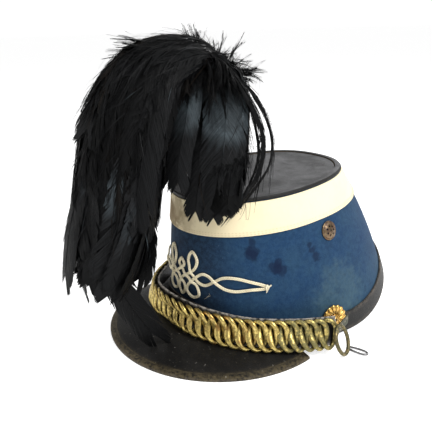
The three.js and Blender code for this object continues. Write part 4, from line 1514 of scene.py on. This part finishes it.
class SHAKO_OT_plume(bpy.types.Operator):
    """Make the feather plume: overlapping feathers in three falls, single feathers, down and the stem"""

    bl_idname = "shako.plume"
    bl_label = "Plume"

    def fall(self, vanes, blanks, rows, side, around, reach, length, step, half, flare, ragged=0.12):
        """Lays rings of feathers on a fall, each over the one below it."""
        rng = vanes.rng
        fall = fall_sections(rows, side)
        total = fall["run"][-1]
        ahead = fall["middle"][-1] - fall["middle"][-6]
        ahead /= np.linalg.norm(ahead)
        start = total - length
        ring = 0
        while start > -step * 0.8:
            for i in range(around):
                angle = 2 * math.pi * (i + 0.5 * (ring % 2)) / around + rng.uniform(-0.2, 0.2)
                size = length * rng.uniform(1 - ragged, 1 + ragged)
                first = max(start + rng.uniform(-0.4, 0.4) * step, 0)
                size = min(size, total + rng.uniform(-200, -50) * ragged - first)
                drift = rng.uniform(-0.28, 0.28)
                droop = rng.uniform(-0.3, 1.0) * flare
                roll = rng.uniform(-0.32, 0.32)
                course, normals = [], []
                for t in np.linspace(0, 1, 14):
                    tuck = reach * (0.66 + 0.34 * min(1, t / 0.35)) - 0.05 * t
                    run = first + size * t
                    place, out = fall_place(fall, min(run, total), angle + drift * t * t, tuck)
                    course.append(place + ahead * max(run - total, 0) + out * droop * t ** 3)
                    beside = np.cross(ahead, out)
                    normals.append(out + beside * roll)
                vanes.add(rng.choice(blanks), course, normals, half * rng.uniform(0.85, 1.12),
                          tint=rng.random() * 0.93)
            start -= step
            ring += 1

    def execute(self, context):
        rng = random.Random(23)
        count = sizes().barb_count
        fine = [feather_blank(rng, count, fray, down=0.8) for fray in (0.35, 0.5, 0.7, 0.9, 1.4)]
        hackles = [feather_blank(rng, count, 4.0, down=0.6, sweep_on=0.26, fine=0.3) for _ in range(4)]
        fluffy = [feather_blank(rng, count * 2 // 3, 5.0, down=0.9, sweep_on=0.36, fine=0.26)
                  for _ in range(4)]
        small = [feather_blank(rng, count // 4, 7.0, down=1.0, sweep_on=0.12, fine=0.2, plain=True)
                 for _ in range(6)]
        coarse = [feather_blank(rng, count // 2, 1.2) for _ in range(3)]
        skin = feather_skin("cock feather", colours().feather, 0.95)
        # The inner feathers take the feather colour at about a third: painted shade inside the plume.
        inner = feather_skin("inner feather", [c * 0.35 for c in colours().feather], 0.0)
        front = Vanes(rng)
        self.fall(front, fine, FRONT_FALL, 1, 10, 0.90, 112, 31, 14.0, 5.0)
        front_fall = front.piece("plume_front_fall", skin)
        for side, name in ((1, "left"), (-1, "right")):
            beside = Vanes(rng)
            self.fall(beside, fine, SIDE_FALL, side, 6, 0.66, 84, 24, 10.5, 3.0, ragged=0.24)
            beside.piece("plume_{}_fall".format(name), skin)
        core = Vanes(rng)
        for reach in (0.42, 0.68):
            self.fall(core, coarse, FRONT_FALL, 1, 7, reach, 96, 34, 15, 1.0)
            for side in (1, -1):
                self.fall(core, coarse, SIDE_FALL, side, 5, reach * 0.85, 72, 30, 11, 1.0)
        core.piece("plume_inner_feathers", inner)
        upper = Vanes(rng)
        self.hackles(upper, hackles)
        upper.piece("plume_hackles", skin)
        self.singles(rng, fine, fluffy, skin)
        self.crest(rng, small, skin)
        self.wisps(rng, skin)
        self.stem()
        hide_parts("plume")
        return {"FINISHED"}

    def hackles(self, vanes, blanks):
        """Long hairy feathers that lie over the falls, most of them near the top."""
        rng = vanes.rng
        for rows, side, number, far, reach in (
                (FRONT_FALL, 1, 46, 150, 0.92), (SIDE_FALL, 1, 14, 74, 0.74), (SIDE_FALL, -1, 14, 74, 0.74)):
            fall = fall_sections(rows, side)
            for _ in range(number):
                first = 4 + (far * 0.62) * rng.random() ** 1.6
                size = min(rng.uniform(52, 84), far + 8 - first)
                angle = rng.uniform(0, 2 * math.pi)
                drift = rng.uniform(-0.4, 0.4)
                course, normals = [], []
                for t in np.linspace(0, 1, 12):
                    place, out = fall_place(fall, first + size * t, angle + drift * t * t, reach)
                    course.append(place + out * (0.5 + 2.0 * t * t))
                    normals.append(out)
                vanes.add(rng.choice(blanks), course, normals, rng.uniform(7, 10), tint=rng.uniform(0.0, 0.7))

    def crest(self, rng, blanks, skin):
        """Short fluffy feathers round the top of the stem, most of them towards the back."""
        vanes = Vanes(rng)
        for _ in range(CREST_FEATHERS):
            angle = math.radians(rng.uniform(-30, 210))
            level = np.array([math.cos(angle), math.sin(angle) * 0.95, 0.0])
            apart = rng.uniform(2, 30)
            out = rng.uniform(4, 9)
            tall = rng.uniform(4, 13) * (1 - 0.006 * apart)
            drop = rng.uniform(0, 12)
            foot = np.array([0, -84, 205]) + level * apart + np.array([0, 0, -0.008 * apart * apart])
            foot[2] -= rng.uniform(0, 14) * apart / 32
            course, normals = [], []
            for t in np.linspace(0, 1, 8):
                arch = tall * math.sin(1.9 * t) - drop * t ** 3
                course.append(foot + level * out * t + np.array([0, 0, arch]))
                beside = np.array([level[1], -level[0], 0])
                normals.append(np.array([0, 0, 1.0]) + level * (1.3 * t) + beside * rng.uniform(-0.3, 0.3))
            vanes.add(rng.choice(blanks), course, normals, rng.uniform(3.5, 6), tint=rng.uniform(0.0, 0.6))
        return vanes.piece("plume_crest", skin)

    def singles(self, rng, blanks, hackles, skin):
        vanes = Vanes(rng)
        heart = np.array([0.0, -104.0, 150.0])
        mirrored = [
            {**row, "course": [(-x, y, z) for x, y, z in row["course"]]} for row in SINGLES[:3]
        ]
        for row in (*SINGLES, *mirrored):
            course = smooth_rows(row["course"], 24)
            away = course - (heart * 0.7 + course.mean(0) * 0.3)
            away[:, 2] *= 0.35
            if "facing" in row:
                away = np.tile(row["facing"], (len(course), 1))
            if row.get("kind") == "sickle":
                vanes.add(rng.choice(blanks[:3]), course, away, row["half"] * 0.6, tint=0.1)
                vanes.add(rng.choice(hackles), course[:17], away[:17], row["half"], tint=0.3)
            elif row.get("kind") == "tuft":
                for _ in range(7):
                    shift = np.array([rng.uniform(-3.5, 3.5) for _ in range(3)])
                    bend = np.array([rng.uniform(-7, 7) for _ in range(3)])
                    part = np.linspace(0, 1, 17)[:, None]
                    vanes.add(rng.choice(hackles), course[:17] + shift + bend * part ** 2, away[:17],
                              row["half"] * 0.8, tint=rng.uniform(0, 0.3))
            else:
                vanes.add(rng.choice(blanks[:3]), course, away, row["half"], tint=row.get("tint"))
        return vanes.piece("plume_single_feathers", skin)

    def wisps(self, rng, skin):
        """Thin loose barbs and down on the crest and along the falls."""
        vanes = Vanes(rng)
        strand, faces = [], []
        steps = 7
        for i in range(steps + 1):
            v = i / steps
            strand.extend([(-(1 - 0.8 * v), v, 0.0), (1 - 0.8 * v, v, 0.0)])
            if i:
                k = 2 * i
                faces.append((k - 2, k - 1, k + 1, k))
        blank = (np.array(strand), np.array([(0.5, v) for _, v, _ in strand]), faces)
        falls = [(fall_sections(FRONT_FALL, 1), 210, 300), (fall_sections(SIDE_FALL, 1), 120, 110),
                 (fall_sections(SIDE_FALL, -1), 120, 110)]
        for fall, total, number in falls:
            for _ in range(number):
                run = total * rng.random() ** 1.5 * 0.9
                angle = rng.uniform(0, 2 * math.pi)
                size = rng.uniform(14, 34)
                lift = rng.uniform(2, 9)
                drift = rng.uniform(-0.5, 0.5)
                course, normals = [], []
                for t in np.linspace(0, 1, 8):
                    place, out = fall_place(fall, run + size * t, angle + drift * t, 0.94)
                    course.append(place + out * lift * math.sin(2.2 * t))
                    normals.append(out)
                vanes.add(blank, course, normals, rng.uniform(0.14, 0.34))
        return vanes.piece("plume_loose_barbs", skin)

    def stem(self):
        """The stem that the feathers are bound to, wound with black thread."""
        base = crown_point(0).z + 1.6
        rows = [at(STEM_PLACE.x, STEM_PLACE.y, z) for z in np.linspace(base, STEM_TOP, 40)]
        stem = tube("plume_stem", rows, 3.0 * MM, sides=16)
        radius = WINDING["radius"]
        turns = [
            at(STEM_PLACE.x + radius * math.cos(a), STEM_PLACE.y + radius * math.sin(a),
               base + 12 + a * WINDING["rise"])
            for a in np.linspace(0, 2 * math.pi * WINDING["turns"], WINDING["turns"] * 18)
        ]
        winding = tube("winding", turns, WINDING["thread"] * MM, sides=5)
        stem = join([stem, winding], "plume_stem")
        material = black_leather("stem thread", 0.6, 0.0)
        return settle(stem, material, smooth=50)


# ---------- the stage ----------

class SHAKO_OT_stage(bpy.types.Operator):
    """Set the floor, the soft lights, the backdrop and the camera"""

    bl_idname = "shako.stage"
    bl_label = "Stage"

    def floor(self, context):
        bpy.ops.mesh.primitive_plane_add(size=60, location=(0, 0, 0))
        floor = context.active_object
        floor.name = "floor"
        material = bpy.data.materials.new("pale floor")
        material.use_nodes = True
        tree = material.node_tree
        shader = tree.nodes["Principled BSDF"]
        shader.inputs["Base Color"].default_value = (0.86, 0.86, 0.86, 1)
        shader.inputs["Roughness"].default_value = 0.9
        shader.inputs["Specular IOR Level"].default_value = 0.1
        shader.inputs["Emission Color"].default_value = (1, 1, 1, 1)
        shader.inputs["Emission Strength"].default_value = 0.56
        floor.data.materials.append(material)

    def world(self, context):
        world = bpy.data.worlds.new("studio")
        context.scene.world = world
        world.use_nodes = True
        tree = world.node_tree
        surface = tree.nodes["Background"]
        surface.inputs["Color"].default_value = (1, 1, 1, 1)
        path = tree.nodes.new("ShaderNodeLightPath")
        strength = maths(tree, "ADD", 0.5, maths(tree, "MULTIPLY", path.outputs["Is Camera Ray"], 0.6))
        link(tree, strength, surface.inputs["Strength"])

    def lamp(self, context, name, place, target, size, power):
        bpy.ops.object.light_add(type="AREA", location=place)
        lamp = context.active_object
        lamp.name = name
        lamp.data.shape = "RECTANGLE"
        lamp.data.size, lamp.data.size_y = size
        lamp.data.energy = power
        lamp.rotation_euler = (Vector(target) - Vector(place)).to_track_quat("-Z", "Y").to_euler()

    def camera(self, context):
        place = Vector((349.1, -338.4, 242.9))
        back = Vector((0.7528, -0.5693, 0.3304)).normalized()
        roll = math.radians(1.613)
        right = Vector((0, 0, 1)).cross(back).normalized()
        up = back.cross(right)
        turned_right = right * math.cos(roll) - up * math.sin(roll)
        turned_up = right * math.sin(roll) + up * math.cos(roll)
        turned = Matrix((turned_right, turned_up, back)).transposed().to_4x4()
        turned.translation = at(*place)
        bpy.ops.object.camera_add()
        camera = context.active_object
        camera.matrix_world = turned
        camera.data.sensor_width = 36.0
        camera.data.lens = 45.36
        camera.data.clip_start = 0.01
        context.scene.camera = camera

    def execute(self, context):
        self.floor(context)
        self.world(context)
        target = at(0, -60, 90)
        self.lamp(context, "key", at(900, 100, 1000), target, (0.7, 0.7), 17)
        self.lamp(context, "fill", at(-500, -1100, 700), target, (1.4, 1.0), 5)
        self.lamp(context, "rim", at(-200, 1000, 900), target, (1.0, 0.6), 7)
        self.camera(context)
        context.scene.view_settings.view_transform = "Standard"
        context.scene.view_settings.look = "None"
        return {"FINISHED"}


# ---------- the add-on ----------

class SHAKO_PT_panel(bpy.types.Panel):
    """Buttons for each part of the shako"""

    bl_idname = "SHAKO_PT_panel"
    bl_label = "Shako"
    bl_space_type = "VIEW_3D"
    bl_region_type = "UI"
    bl_category = "Shako"

    def draw(self, context):
        for settings in (context.scene.shako_sizes, context.scene.shako_colours):
            box = self.layout.box()
            for name in settings.__annotations__:
                box.prop(settings, name)
        for operator in OPERATORS:
            self.layout.operator(operator.bl_idname)


OPERATORS = (
    SHAKO_OT_wall, SHAKO_OT_stitches, SHAKO_OT_crown, SHAKO_OT_peak, SHAKO_OT_strap, SHAKO_OT_chain,
    SHAKO_OT_bosses, SHAKO_OT_vents, SHAKO_OT_knot, SHAKO_OT_fittings, SHAKO_OT_plume, SHAKO_OT_stage,
)
CLASSES = (ShakoSizes, ShakoColours, *OPERATORS, SHAKO_PT_panel)


def register():
    for cls in CLASSES:
        bpy.utils.register_class(cls)
    bpy.types.Scene.shako_sizes = PointerProperty(type=ShakoSizes)
    bpy.types.Scene.shako_colours = PointerProperty(type=ShakoColours)


def unregister():
    del bpy.types.Scene.shako_colours
    del bpy.types.Scene.shako_sizes
    for cls in reversed(CLASSES):
        bpy.utils.unregister_class(cls)


def main():
    register()
    make_groups()
    bpy.ops.shako.wall()
    bpy.ops.shako.stitches()
    bpy.ops.shako.crown()
    bpy.ops.shako.peak()
    bpy.ops.shako.strap()
    bpy.ops.shako.chain()
    bpy.ops.shako.bosses()
    bpy.ops.shako.vents()
    bpy.ops.shako.knot()
    bpy.ops.shako.fittings()
    bpy.ops.shako.plume()
    bpy.ops.shako.stage()
    bpy.context.view_layer.update()


if __name__ == "__main__":
    main()
